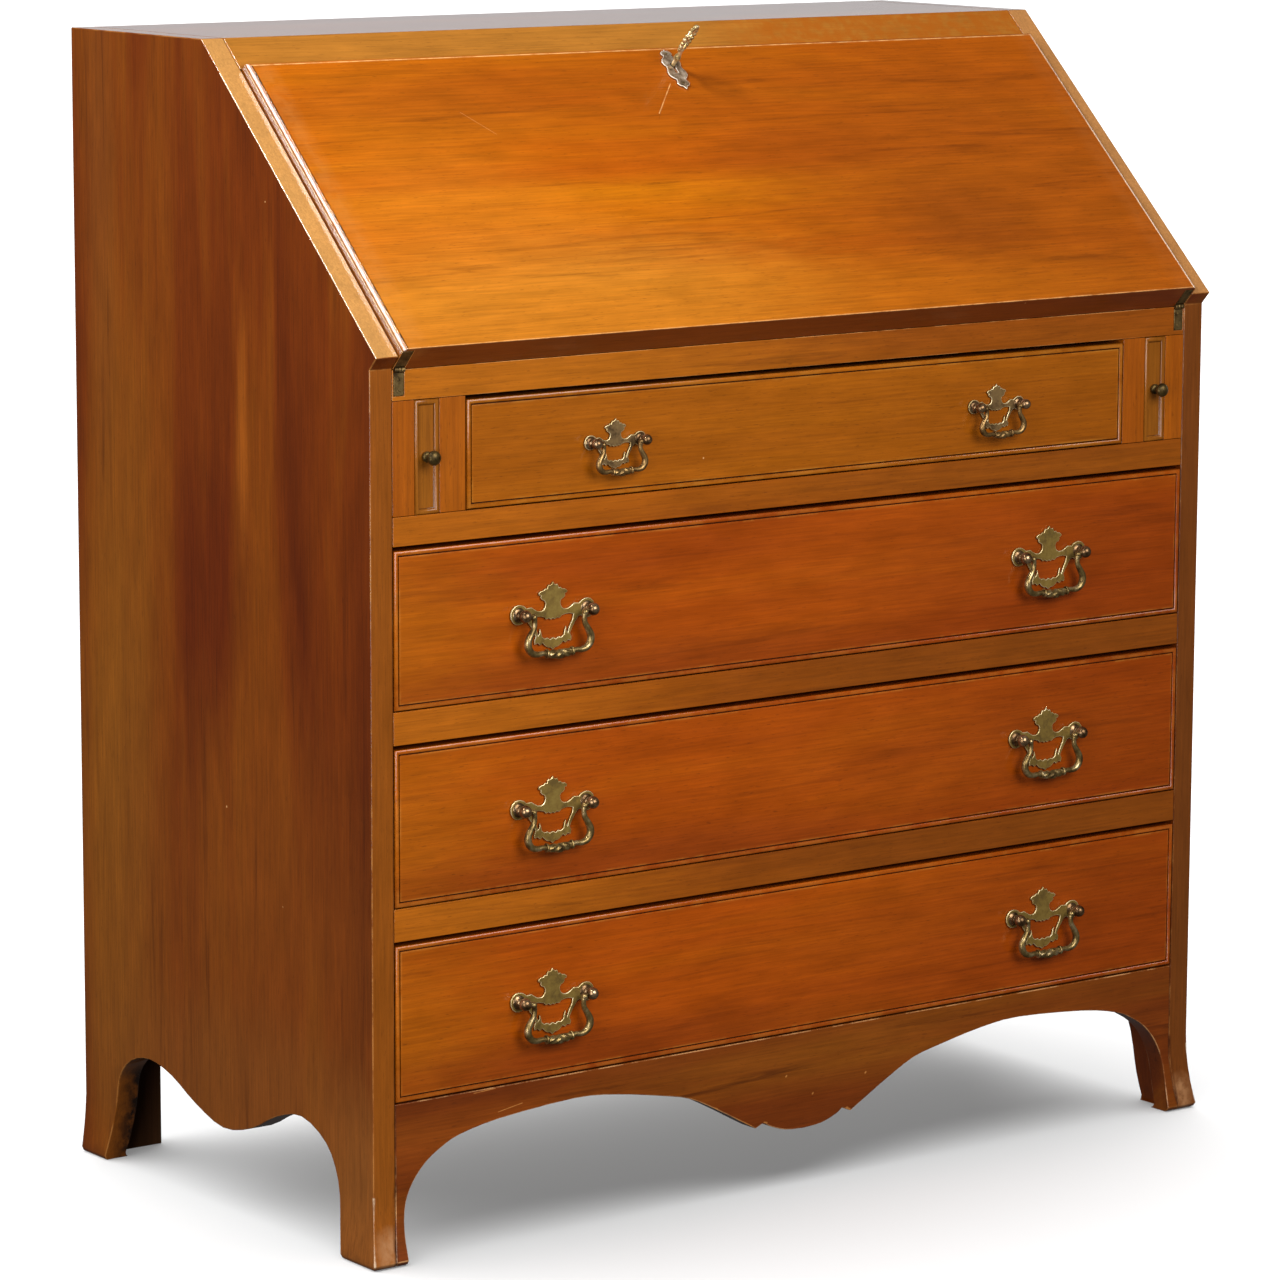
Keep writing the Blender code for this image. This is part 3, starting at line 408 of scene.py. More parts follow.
def add_ball(bm, centre, radius, place, segments=16, rings=8):
    """Adds a ball, turned like the rest of the brass."""
    profile = []
    for i in range(rings + 1):
        angle = math.pi * i / rings
        profile.append((-radius * math.cos(angle), radius * math.sin(angle)))
    add_turned(bm, profile, place @ Matrix.Translation(centre), segments)


def add_plate(bm, outline, holes, thickness, edge, place):
    """Adds a sawn plate with filed edges: outlines in XZ, its back on y = 0, its face towards -Y."""
    curve = bpy.data.curves.new("plate_blank", "CURVE")
    curve.dimensions = "2D"
    curve.fill_mode = "BOTH"
    curve.extrude = thickness / 2 - edge
    curve.bevel_depth = edge
    curve.bevel_resolution = 2
    curve.offset = -edge
    for loop in [outline, *holes]:
        spline = curve.splines.new("POLY")
        spline.points.add(len(loop) - 1)
        for point, (x, z) in zip(spline.points, loop):
            point.co = (x, z, 0, 1)
        spline.use_cyclic_u = True
    blank = bpy.data.objects.new("plate_blank", curve)
    mesh = bpy.data.meshes.new_from_object(blank)
    upright = Matrix.Rotation(math.pi / 2, 4, "X")
    mesh.transform(place @ Matrix.Translation((0, -thickness / 2, 0)) @ upright)
    bm.from_mesh(mesh)
    bpy.data.objects.remove(blank)
    bpy.data.curves.remove(curve)
    bpy.data.meshes.remove(mesh)


def set_filed_edge_finish(bm, towards):
    """Puts the second finish on a plate's filed edges; returns the plate's faces."""
    upright, level = 0.05, 0.98
    bm.normal_update()
    for flank in bm.faces:
        flank.material_index = int(upright < flank.normal.dot(towards) < level)
    return set(bm.faces)


def mirrored(half):
    """A closed outline from its right half, given from the top down."""
    left = [(-x, z) for x, z in reversed(half) if abs(x) > 1e-6]
    return [*half, *left]


def millimetres(points, scale=1.0):
    """Points given in mm, scaled and in metres."""
    return [(x * scale / 1000, z * scale / 1000) for x, z in points]


# ---- finishes of the desk ----

SLANT = (0.0, -math.sin(SLOPE), math.cos(SLOPE))
TOWARDS_FRONT = (0.0, -1.0, 0.0)
# stains, each as its dark, middle and light colour
ORANGE = ("#A04202", "#B65002", "#C66202")
FALL_TONES = ("#AA4E02", "#B85A02", "#C87004")
CASE_TONES = ("#602202", "#7E3604", "#9C540C")
RAIL_TONES = ("#944604", "#A85406", "#BA640A")
APRON_TONES = ("#682A06", "#7E3808", "#94500E")
LOPER_TONES = ("#8A4E10", "#9E5C14", "#B06C1C")
TOP_DRAWER_TONES = ("#A45604", "#B46208", "#C0700E")
OPENING_MIDDLE = 0.0695  # above a wide opening's floor


def on_slope(x, s, h=FALL_THICK):
    """A point on the fall's outer face, or h off its inner one."""
    return (x, *slope(s, h))


def drawer_patches(middle):
    """Painted light and shade: a front glows golden at its left end, darkens along its foot and reddens
    towards its right.
    """
    return [
        ((-0.44, FRONT, middle), (0.16, 0.1, 0.12), "#C2700A", 0.45),
        ((0.42, FRONT, middle - 0.01), (0.30, 0.1, 0.14), "#923A04", 0.75),
        ((-0.12, FRONT, middle - 0.055), (0.34, 0.1, 0.030), "#8C3A08", 0.65),
        ((0.16, FRONT, middle + 0.02), (0.20, 0.1, 0.05), "#B05008", 0.4),
    ]


# painted light and shade: the fall is lighter to the left and along its foot, palest at the lower left,
# darker to the right and along its head, with a few smaller dark patches
FALL_PATCHES = [
    (on_slope(0.36, 0.16), (0.34, 0.24, 0.24), "#A04C04", 0.9),
    (on_slope(-0.20, 0.05), (0.28, 0.09, 0.08), "#CC8428", 0.75),
    (on_slope(0.05, 0.03), (0.45, 0.06, 0.05), "#C06C0C", 0.5),
    (on_slope(-0.28, 0.27), (0.14, 0.06, 0.06), "#B8680C", 0.5),
    (on_slope(-0.05, 0.29), (0.30, 0.05, 0.05), "#9C4A04", 0.6),
    (on_slope(0.24, 0.11), (0.08, 0.05, 0.045), "#803C04", 0.45),
    (on_slope(0.10, 0.20), (0.10, 0.03, 0.03), "#964404", 0.4),
    (on_slope(-0.30, 0.15), (0.16, 0.08, 0.08), "#CA7418", 0.6),
]
FALL_BEAD = 0.0038  # width of the moulding round the fall
ARRIS = FALL_HALF - FALL_BEAD


def up_fall(x, width, colour, strength, low=0.0, high=FALL_TOP, h=FALL_THICK):
    """A mark that runs straight up the fall."""
    return (on_slope(x, low, h), on_slope(x, high, h), width, colour, strength)


def across_fall(s, width, colour, strength):
    """A mark that runs level across the fall."""
    return (on_slope(-ARRIS, s), on_slope(ARRIS, s), width, colour, strength)


# rubbed margins; then along the left edge painted shade on the edge face, a worn line, a painted highlight
# on the quarter-round and a painted shadow line at its fillet; then worn lines along the right, top and
# bottom edges, and scratches
FALL_MARKS = [
    up_fall(-FALL_HALF + 0.013, 0.016, "#C08040", 0.20),
    up_fall(FALL_HALF - 0.013, 0.016, "#A86028", 0.20),
    # painted shade down the fall's left edge face
    up_fall(-FALL_HALF, 0.0060, "#5E2A06", 0.70, h=0.0115),
    up_fall(-FALL_HALF + 0.0004, 0.0010, "#F4D8A0", 0.85, h=0.0214),
    # painted highlight along the left moulding's quarter-round
    up_fall(-FALL_HALF + 0.0016, 0.0019, "#ECDCD4", 0.95, h=0.0240),
    up_fall(FALL_HALF - 0.0011, 0.0016, "#D8A478", 0.60, h=0.0240),
    # painted shadow line at the left moulding's fillet
    up_fall(-FALL_HALF + 0.0037, 0.0016, "#2C1206", 1.0),
    up_fall(ARRIS, 0.0011, "#E8B87C", 0.70),
    across_fall(FALL_TOP - FALL_BEAD, 0.0011, "#F0C080", 0.70),
    across_fall(0.0006, 0.0012, "#E8A868", 0.75),
    (on_slope(-0.0135, 0.277), on_slope(-0.044, 0.243), 0.0007, "#E8B070", 0.75),
    (on_slope(-0.030, 0.262), on_slope(-0.048, 0.236), 0.0005, "#7A3A08", 0.50),
    (on_slope(-0.250, 0.255), on_slope(-0.226, 0.228), 0.0004, "#E0A060", 0.45),
    (on_slope(0.150, 0.060), on_slope(0.172, 0.066), 0.0005, "#6A3004", 0.60),
]


JOINT_DIRT = "#4A2006"
SHOULDER_WEAR = "#A86C30"


def side_marks(hand):
    """Wear down a side's front: pale lines along its slanted face, a bare corner down its foot; and
    painted shade on the front edge of its back foot, under the arch.
    """
    outer, inner = hand * HALF, hand * INNER
    slant = [(0.0, SLANT_H), (FALL_TOP - 0.002, SLANT_H)]
    behind = hand * (INNER + 0.001)
    return [
        *((*((x, *slope(s, h)) for s, h in slant), 0.0010, "#FAE6C0", 0.95) for x in (outer, inner)),
        ((outer, FRONT, 0.06), (outer * 1.012, FRONT - 0.010, 0.0), 0.0020, "#F0D8B8", 0.9),
        ((outer * 0.975, FRONT - 0.008, 0.0), (outer * 0.975, FRONT - 0.005, 0.022), 0.016,
         "#B88458", 0.75),
        ((inner, FRONT, 0.0), (inner, FRONT, 0.73), 0.0016, "#5A2A08", 0.9),
        ((inner * 1.012, FRONT - 0.009, 0.0), (inner, FRONT, 0.07), 0.0030, JOINT_DIRT, 1.0),
        ((inner, *slope(FALL_TOP + 0.002, SLANT_H)), (inner, *slope(FASCIA_HEAD, SLANT_H)), 0.0022,
         SHOULDER_WEAR, 1.0),
        # painted shade: the back foot's front edge under the arch, near black
        ((behind, 0.187, 0.085), (behind, 0.199, 0.0), 0.024, "#180A02", 0.98),
    ]


TOP_MARKS = [
    ((0.16, *slope(0.337, SLANT_H)), (0.46, *slope(0.337, SLANT_H)), 0.10, "#A2540A", 0.80),
    ((-INNER, *slope(0.325, SLANT_H)), (-0.30, *slope(0.325, SLANT_H)), 0.006, "#7A441C", 0.6),
    *(((x, *slope(FASCIA_FOOT, SLANT_H)), (x, *slope(FASCIA_HEAD, SLANT_H)), 0.0022,
       SHOULDER_WEAR, 1.0) for x in (-INNER, INNER)),
]
# chips along the apron's lower edge: x, z, run in x, run in z, width
APRON_CHIPS = [
    (-0.0440, 0.0622, 0.0030, -0.0008, 0.0012), (0.0530, 0.0590, -0.0035, 0.0022, 0.0016),
    (0.0480, 0.0612, -0.0080, -0.0024, 0.0008), (-0.0960, 0.0822, -0.0100, 0.0040, 0.0012),
    (-0.0780, 0.0722, 0.0200, -0.0110, 0.0006), (0.0000, 0.0512, -0.0140, 0.0004, 0.0006),
    (0.0250, 0.0532, 0.0060, 0.0015, 0.0008), (-0.3300, 0.1160, 0.0250, 0.0040, 0.0005),
    (-0.3550, 0.1360, 0.0220, 0.0010, 0.0005), (0.0100, 0.0800, 0.0008, 0.0008, 0.0011),
    (-0.0200, 0.1000, 0.0008, 0.0008, 0.0010), (0.0700, 0.0900, 0.0008, 0.0008, 0.0011),
]
APRON_MARKS = [
    *(((x, FRONT, z), (x + dx, FRONT, z + dz), wide, "#CC8844", 0.85)
      for x, z, dx, dz, wide in APRON_CHIPS),
    *(((x * 1.012, FRONT - 0.009, 0.0), (x, FRONT, 0.07), 0.0030, JOINT_DIRT, 1.0)
      for x in (-INNER, INNER)),
    *(((x, FRONT, 0.06), (x, FRONT, 0.17), 0.0020, JOINT_DIRT, 1.0) for x in (-INNER, INNER)),
]
LEFT_SIDE_PATCHES = [
    ((-HALF, 0.19, 0.32), (0.1, 0.07, 0.34), "#A4641C", 0.60),
    ((-HALF, 0.17, 0.62), (0.1, 0.06, 0.22), "#9C5A14", 0.50),
    ((-HALF, -0.03, 0.70), (0.1, 0.009, 0.10), "#B86218", 0.55),
    ((-HALF, 0.20, 0.90), (0.1, 0.025, 0.25), "#96561C", 0.4),
    ((-HALF, 0.03, 0.56), (0.1, 0.07, 0.12), "#641E02", 0.5),
    ((-HALF, 0.0, 0.24), (0.1, 0.26, 0.26), "#924C12", 0.55),
    ((-HALF, 0.0, 0.12), (0.1, 0.30, 0.08), "#985820", 0.5),
    ((-HALF, -0.20, 0.03), (0.1, 0.08, 0.13), "#A8662A", 0.65),
]
# each board's own stain and wear, with painted light and shade on the fall, fronts, rails and shelf; the
# fronts are the reddest, the case boards the darkest
WOODS = {
    "fall": dict(tones=FALL_TONES, grain=ON_SLOPE, seed=1.3, streaks=0.35, gloss=0.8,
                 patches=FALL_PATCHES, marks=FALL_MARKS,
                 # painted shade: the fall's lower edge face and its left edge face are darkened
                 facing=[((0, -math.cos(SLOPE), -math.sin(SLOPE)), "#7A3208", 0.9),
                         ((-1, 0, 0), "#7E4208", 0.9)]),
    "top": dict(tones=CASE_TONES, seed=2.1, bare="#B87838", marks=TOP_MARKS,
                facing=[(SLANT, "#B8782A", 0.85)],
                patches=[((0.40, 0.02, 0.99), (0.50, 0.1, 0.08), "#743A0C", 0.6)]),
    "side_left": dict(tones=CASE_TONES, grain=UPRIGHT, seed=3.7, bare="#B07438", streaks=0.36,
                      patches=LEFT_SIDE_PATCHES, marks=side_marks(-1),
                      facing=[(SLANT, "#CE9652", 0.85), (TOWARDS_FRONT, "#9E5610", 0.85)]),
    "side_right": dict(tones=CASE_TONES, grain=UPRIGHT, seed=7.9, bare="#B07438", marks=side_marks(1),
                       facing=[(SLANT, "#C88C50", 0.9), (TOWARDS_FRONT, "#7E4414", 0.85)]),
    "shelf": dict(tones=RAIL_TONES, seed=4.4,
                  # painted light and shade: lighter at the left, darker at the right
                  patches=[((0.40, FRONT, 0.74), (0.60, 0.3, 0.1), "#964C08", 0.7),
                           ((-0.30, FRONT, 0.74), (0.40, 0.3, 0.1), "#C47010", 0.8)]),
    "rail": dict(tones=RAIL_TONES, seed=5.2,
                 # painted light and shade: lighter at the left, darker at the right
                 patches=[((0.40, FRONT, 0.4), (0.50, 0.3, 0.5), "#86440A", 0.75),
                          ((-0.40, FRONT, 0.4), (0.30, 0.3, 0.5), "#C06A10", 0.85)]),
    "stile": dict(tones=RAIL_TONES, grain=UPRIGHT, seed=6.6),
    "apron": dict(tones=APRON_TONES, seed=8.3, streaks=0.6, bare="#D8A068", marks=APRON_MARKS,
                  patches=[((-0.30, FRONT, 0.100), (0.14, 0.1, 0.030), "#A04C10", 0.6),
                           ((0.30, FRONT, 0.100), (0.14, 0.1, 0.030), "#90440E", 0.5)]),
    "loper": dict(tones=LOPER_TONES, grain=UPRIGHT, seed=9.1, bare="#B07430", gloss=0.6),
    "top_drawer": dict(tones=TOP_DRAWER_TONES, seed=10.5, bare="#C0802E", gloss=0.75,
                       # painted shade towards its right end
                       patches=[((0.36, FRONT, 0.68), (0.25, 0.1, 0.10), "#9C5206", 0.6)]),
    **{f"{row}_drawer": dict(tones=ORANGE, seed=seed, bare="#C0782C", gloss=0.75, streaks=0.22,
                             patches=drawer_patches(ROWS[row] + OPENING_MIDDLE))
       for row, seed in (("upper", 11.7), ("middle", 12.9), ("lower", 14.2))},
}
wood = {key: varnished_wood(f"varnished_{key}", **made) for key, made in WOODS.items()}
# the same boards where the arris has been eased by hands: the varnish is gone, the wood is pale
rubbed_wood = {
    key: varnished_wood(f"rubbed_edge_{key}", **{**WOODS[key], "rubbed": 0.8})
    for key in ("fall", "top", "side_left", "side_right", "shelf", "rail", "stile", "apron")
}
# softwood drawer linings, planed and never finished: pale, dry and without any gloss
lining = varnished_wood("planed_lining_wood", ("#9A7040", "#B58A56", "#C9A06A"), FORE_AND_AFT, 16.0,
                        rough=0.62, gloss=0.0, dings=0.0, streaks=0.2)
# the gallery's thin boards, planed and wiped once with varnish: browner, with a faint sheen
gallery_wood = varnished_wood("thinly_varnished_gallery", ("#8A5A26", "#A8723A", "#BC8848"),
                              LENGTHWAYS, 17.5, rough=0.48, gloss=0.1, dings=0.2, streaks=0.25)
# back boards, rough from the saw and raw: dark brown with age and dead matt
back_wood = varnished_wood("raw_back_board", ("#3A2212", "#4E301A", "#624022"), UPRIGHT, 19.0,
                           rough=0.75, gloss=0.0, dings=0.1, streaks=0.4)
# wide drawers' cast plates: a dull yellow skin, little metal left in its shine
pull_brass = antique_brass("antique_brass_plate", "#927638", "#AA8E48", "#745C2C", 0.46, 0.6)
# the filed edges of those plates, which every duster has rubbed and which are painted paler still as a
# highlight: a thin bright outline
plate_edge = antique_brass("rubbed_brass_arris_painted_highlight", "#E8D09A", "#FFF0C8", "#B89A5C", 0.34, 0.6)
# turned posts, polished when made and browned since: dark balls with a small sharp glint
post_brass = antique_brass("browned_post_brass", "#7A5C3C", "#BCA07C", "#402C18", 0.24)
# cast bails, kept brighter than their plates by fingers: brown bends, pale grips
bail_brass = antique_brass("antique_brass_bail", "#8C7444", "#CCB488", "#564226", 0.32)
# the top drawer's pulls are from another batch, a shade browner than the wide ones
small_pull_brass = antique_brass("browned_brass_plate", "#826640", "#9C7E4E", "#543F22", 0.46, 0.6)
small_bail_brass = antique_brass("browned_brass_bail", "#8E6E42", "#B4925C", "#54401F", 0.34)
# rolled hinge brass under old lacquer: an even greenish brown
hinge_brass = antique_brass("tarnished_hinge_brass", "#786038", "#9A8050", "#40301A", 0.38)
# turned loper knobs, the darkest brass here, black in their necks
knob_brass = antique_brass("tarnished_knob_brass", "#64502A", "#86703E", "#34280F", 0.36)
# the key, cast and filed and handled daily: pale yellow, almost bright
key_brass = antique_brass("key_brass", "#C4AA74", "#FFF4D0", "#6E5428", 0.28, 0.7)
# the escutcheon has lost its lacquer: pinkish grey, with the palest filed edge of all, rubbed and painted
# near white as a highlight
escutcheon_brass = antique_brass("greyed_escutcheon_brass", "#9C8268", "#E8D4BC", "#4A3824", 0.36, 0.55)
escutcheon_edge = antique_brass("rubbed_escutcheon_arris_painted_highlight", "#FFF0DC", "#FFFAF0", "#D8C0A0", 0.30, 0.4)
# the lock's bolt, filed mild steel: grey, dull, with a broad soft shine
lock_steel = plain_finish("dull_lock_steel", "#6E6A62", 0.45, 1.0)


# ---- the frame's own boards ----


def dress(node, finish, edge_finish=None, width=0.0008, merge=0.00001):
    """Gives a board its finish; its arrises are eased and take the rubbed one. A board with a
    curved outline is merged coarser, so that easing it leaves no slivers."""
    board = NODES[node]
    board.data.materials.clear()
    board.data.materials.append(finish)
    if edge_finish:
        board.data.materials.append(edge_finish)
    board.modifiers.new("weld", "WELD").merge_threshold = merge
    flat = board.modifiers.new("flat", "DECIMATE")
    flat.decimate_type = "DISSOLVE"
    flat.angle_limit = math.radians(0.6)
    ease = board.modifiers.new("eased_edges", "BEVEL")
    ease.width = width
    ease.segments = 2
    ease.limit_method = "ANGLE"
    ease.angle_limit = math.radians(35)
    ease.material = 1 if edge_finish else 0
    ease.use_clamp_overlap = merge < 0.0001
    board.modifiers.new("weighted", "WEIGHTED_NORMAL")
    board.data.shade_smooth()


CURVED = 0.0006
dress("fall_panel", wood["fall"], rubbed_wood["fall"], 0.0007)
dress("top_board", wood["top"], rubbed_wood["top"])
for side in ("left", "right"):
    dress(f"side_{side}", wood[f"side_{side}"], rubbed_wood[f"side_{side}"], 0.0009, CURVED)
    dress(f"loper_guide_{side}", wood["stile"], wood["stile"], 0.0004)
    dress(f"loper_partition_{side}", wood["stile"], wood["stile"], 0.0005)
    dress(f"rear_bracket_{side}", back_wood)
    dress(f"gallery_drawer_{side}", gallery_wood)
dress("writing_shelf", wood["shelf"], rubbed_wood["shelf"], 0.0007)
for rail in ("lower_blade", "middle_blade", "upper_blade"):
    dress(rail, wood["rail"], wood["rail"], 0.0006)
dress("apron", wood["apron"], rubbed_wood["apron"], 0.0008, CURVED)
dress("bottom_board", lining)
dress("back_panel", back_wood)
dress("gallery", gallery_wood)
dress("lock_case", escutcheon_brass, None, 0.0003)
dress("lock_bolt", lock_steel, None, 0.0003)
for row in ("lower", "middle", "upper", "top"):
    dress(f"{row}_drawer_box", lining, None, 0.0005)
    dress(f"{row}_drawer_bottom", lining, None, 0.0004)


# ---- drawer fronts and lopers ----


def moulded_front(name, x, z, profile, finish, body, replaces):
    """A front with a moulding worked round its face: profile is (inset, depth, rub) in mm."""
    bm = bmesh.new()
    rub = bm.verts.layers.float.new("rub")
    loops = []
    for inset, depth, worn in profile:
        inset, depth = inset / 1000, depth / 1000
        corners = [(x[0] + inset, z[0] + inset), (x[1] - inset, z[0] + inset),
                   (x[1] - inset, z[1] - inset), (x[0] + inset, z[1] - inset)]
        loop = [bm.verts.new((cx, FRONT + depth, cz)) for cx, cz in corners]
        for vert in loop:
            vert[rub] = worn
        loops.append(loop)
    bm.faces.new(loops[0][::-1])
    bm.faces.new(loops[-1])
    for loop, following in zip(loops, loops[1:]):
        for i in range(4):
            j = (i + 1) % 4
            bm.faces.new((loop[i], loop[j], following[j], following[i]))
    return new_piece(name, bm, finish, body, replaces, smooth=50)


def bead_profile(thick):
    """Cock bead, quirk and field, from the front's back edge to its face."""
    profile = [(0.0, thick, 0.0), (0.0, 2.0, -0.6), (0.0, 0.9, 0.0)]
    for i in range(1, 9):
        angle = math.pi * i / 9
        profile.append((1.9 - 1.9 * math.cos(angle), 0.5 - 1.4 * math.sin(angle),
                        0.38 * math.sin(angle)))
    profile += [(3.8, 0.6, -0.6), (3.85, 1.6, -1.0), (4.7, 1.6, -1.0), (4.75, 0.5, -0.2),
                (4.95, 0.1, 0.6), (5.4, 0.0, 0.6), (6.1, 0.0, 0.15), (7.2, 0.0, 0.0)]
    return profile


# clear space round a drawer's front in its opening: at each end, below and above
END_GAP, FOOT_GAP, HEAD_GAP = 0.0014, 0.0012, 0.0038
FRONT_THICK = 19.0


def fit_drawer_face(row, half, floor_z, opening):
    """Fills a row's opening with its drawer's front."""
    moulded_front(f"{row}_drawer_face", (-half + END_GAP, half - END_GAP),
                  (floor_z + FOOT_GAP, floor_z + opening - HEAD_GAP), bead_profile(FRONT_THICK),
                  wood[f"{row}_drawer"], f"{row}_drawer",
                  [f"{row}_drawer_front"])


for row, bottom in ROWS.items():
    fit_drawer_face(row, INNER, bottom, OPENING)
fit_drawer_face("top", TOP_HALF, TOP_ROW, TOP_OPENING)

# a hollow moulding worked round a loper's end, and the bar behind it: inset, depth, rub
LOPER_PROFILE = [
    (0.0, 300.0, 0.0), (0.0, 1.0, 0.0), (0.5, 0.0, 0.0), (1.2, -0.4, 0.1), (2.6, -0.4, 0.0),
    (3.3, -0.1, 0.1), (3.9, 0.8, 0.0), (4.5, 1.7, -0.8), (4.9, 1.8, -0.3), (5.3, 1.8, 0.0),
]
KNOB_PROFILE = [
    (-1.0, 0), (-1.0, 4.6), (0.9, 4.6), (1.5, 4.2), (2.2, 2.7), (3.4, 2.3), (5.0, 2.4), (6.0, 3.6),
    (7.2, 5.1), (8.6, 6.1), (9.9, 6.4), (11.2, 6.0), (12.4, 5.0), (13.3, 3.3), (13.9, 1.4), (14.0, 0),
]
KNOB_Z = 0.6808
SEATED = 0.0004  # how far a brass stands proud of the wood behind it
for side, sign in (("left", -1), ("right", 1)):
    moulded_front(f"loper_{side}_bar", (sign * LOPER_X - LOPER_HALF, sign * LOPER_X + LOPER_HALF),
                  (TOP_ROW + 0.0004, TOP_ROW + TOP_OPENING - 0.0008), LOPER_PROFILE,
                  wood["loper"], f"loper_{side}", [f"loper_{side}"])
    bm = bmesh.new()
    centre = (sign * LOPER_X, FRONT - SEATED, KNOB_Z)
    add_turned(bm, millimetres(KNOB_PROFILE), Matrix.Translation(centre))
    new_piece(f"loper_knob_{side}_turned", bm, knob_brass, f"loper_{side}",
              [f"loper_knob_{side}"])


# ---- bail pulls ----

PLATE_OUTLINE = mirrored([
    (0.0, 25.5), (1.4, 23.4), (3.2, 22.6), (4.4, 23.2), (5.6, 21.4), (6.0, 19.8), (8.0, 20.2),
    (9.8, 18.6), (12.4, 18.4), (14.9, 16.6), (14.3, 14.9), (12.2, 14.4), (12.6, 12.4), (11.0, 10.6),
    (8.9, 9.9), (7.6, 7.8), (7.9, 5.0), (9.4, 2.6), (12.0, 1.3), (15.6, 1.6), (19.0, 3.4),
    (22.0, 5.4), (24.8, 5.2), (27.2, 5.0), (29.4, 6.9), (32.2, 8.2), (35.4, 8.6), (39.0, 7.8),
    (41.8, 5.4), (43.4, 2.0), (43.3, -2.0), (41.4, -5.6), (38.6, -7.8), (35.0, -8.4), (31.4, -7.6),
    (28.6, -5.8), (26.0, -6.6), (22.6, -11.2), (19.6, -16.0), (17.6, -20.0), (19.2, -23.0),
    (18.7, -26.6), (15.6, -25.6), (13.2, -27.8), (10.6, -26.0), (8.2, -28.4), (5.4, -30.2),
    (2.6, -30.4), (0.0, -32.4),
])
PLATE_WINDOW = mirrored([
    (0.0, -5.6), (2.0, -6.8), (4.2, -5.4), (7.0, -6.2), (9.0, -4.2), (13.0, -3.2), (17.0, -3.0),
    (21.2, -4.0), (20.4, -8.0), (18.0, -12.4), (16.2, -16.2), (15.4, -19.4), (13.8, -17.4),
    (13.6, -13.4), (12.2, -16.4), (11.4, -20.4), (8.6, -22.4), (5.6, -21.8), (3.0, -23.4),
    (0.0, -22.0),
])
POST_MM = 35.0  # a wide drawer's posts, each from the middle of its plate
PULL_POST = [(0.4, 0), (0.4, 6.3), (1.9, 6.3), (2.6, 5.6), (3.2, 4.1), (4.2, 3.6), (5.1, 3.7),
             (5.6, 4.4), (6.4, 4.6), (7.0, 4.0)]
BALL, SMALL_BALL = 5.5, 4.675  # radius of the ball on a post, wide and top drawers
SLIM_POST = 0.85  # the small pulls' posts against the wide ones
NECK = 4.0  # the post's radius where it runs into its ball
PLATE_THICK, PLATE_ARRIS = 0.0018, 0.0005


def ball_end(profile, ball):
    """A post's outline with the ball that the bail hangs in at its end."""
    start = math.asin(NECK / BALL)
    steps = 11
    for i in range(steps + 1):
        angle = start + (math.pi - start) * i / steps
        radius = ball * math.sin(angle) if i < steps else 0
        profile = [*profile, (PIVOT_OUT * 1000 - ball * math.cos(angle), radius)]
    return profile


BAIL_ARM = [
    (30.6, 0.0), (28.0, -0.4), (26.2, -2.6), (25.6, -6.4), (26.4, -11.0), (29.4, -16.0),
    (32.2, -21.4), (32.0, -27.0), (28.4, -31.6), (23.0, -33.2), (17.6, -32.8), (14.2, -33.2),
]
ARM_RADII = [1.3, 1.6, 2.4, 2.2, 2.4, 2.8, 3.2, 3.3, 3.0, 2.6, 2.3, 2.3]
KNUCKLE_X, KNUCKLE_Z, KNUCKLE = 26.6, -1.6, 3.0
COLLAR = [(-1.1, 0), (-1.1, 3.4), (-0.5, 4.0), (0.5, 4.0), (1.1, 3.4), (1.1, 0)]
GRIP_HALF, GRIP_Z, GRIP_SAG = 13.0, -33.4, 1.3
GRIP_THIN, GRIP_SWELL = 2.7, 1.1
PINTLE_IN = 3.0  # how far an arm's end runs into its ball
LEAF_DEPTH, LEAVES, LEAF_TWIST = 0.11, 5, 0.55


def add_bail(bm, scale, place, ball):
    """Drop handle: pintles, ogee arms that swell in the bend, and a leaf-carved grip."""
    slim = ball / BALL
    points = curve_through([(x, z, r) for (x, z), r in zip(BAIL_ARM, ARM_RADII)], 5)
    for sign in (-1, 1):
        path = [(sign * x * scale / 1000, z * scale / 1000) for x, z, _ in points]
        path[0] = (sign * (POST_MM * scale - ball + PINTLE_IN) / 1000, 0.0)
        add_rod(bm, path, [max(r, 1.2) * slim / 1000 for _, _, r in points], place)
        knuckle = (sign * KNUCKLE_X * scale / 1000, 0, KNUCKLE_Z * scale / 1000)
        add_ball(bm, knuckle, KNUCKLE * slim / 1000, place)
        turn = Matrix.Rotation(math.pi / 2, 4, "Z")
        at = Matrix.Translation((sign * GRIP_HALF * scale / 1000, 0, GRIP_Z * scale / 1000))
        add_turned(bm, millimetres(COLLAR, slim), place @ at @ turn)
    steps = 40
    grip, radii = [], []
    for i in range(steps + 1):
        share = 2 * i / steps - 1
        grip.append((share * GRIP_HALF * scale / 1000,
                     (GRIP_Z - GRIP_SAG * (1 - share**2)) * scale / 1000))
        radii.append((GRIP_THIN + GRIP_SWELL * (1 - share**2)) * slim / 1000)

    def leaves(i, angle):
        return 1 + LEAF_DEPTH * math.cos(LEAVES * angle + LEAF_TWIST * abs(i - steps / 2))

    add_rod(bm, grip, radii, place, 24, leaves)


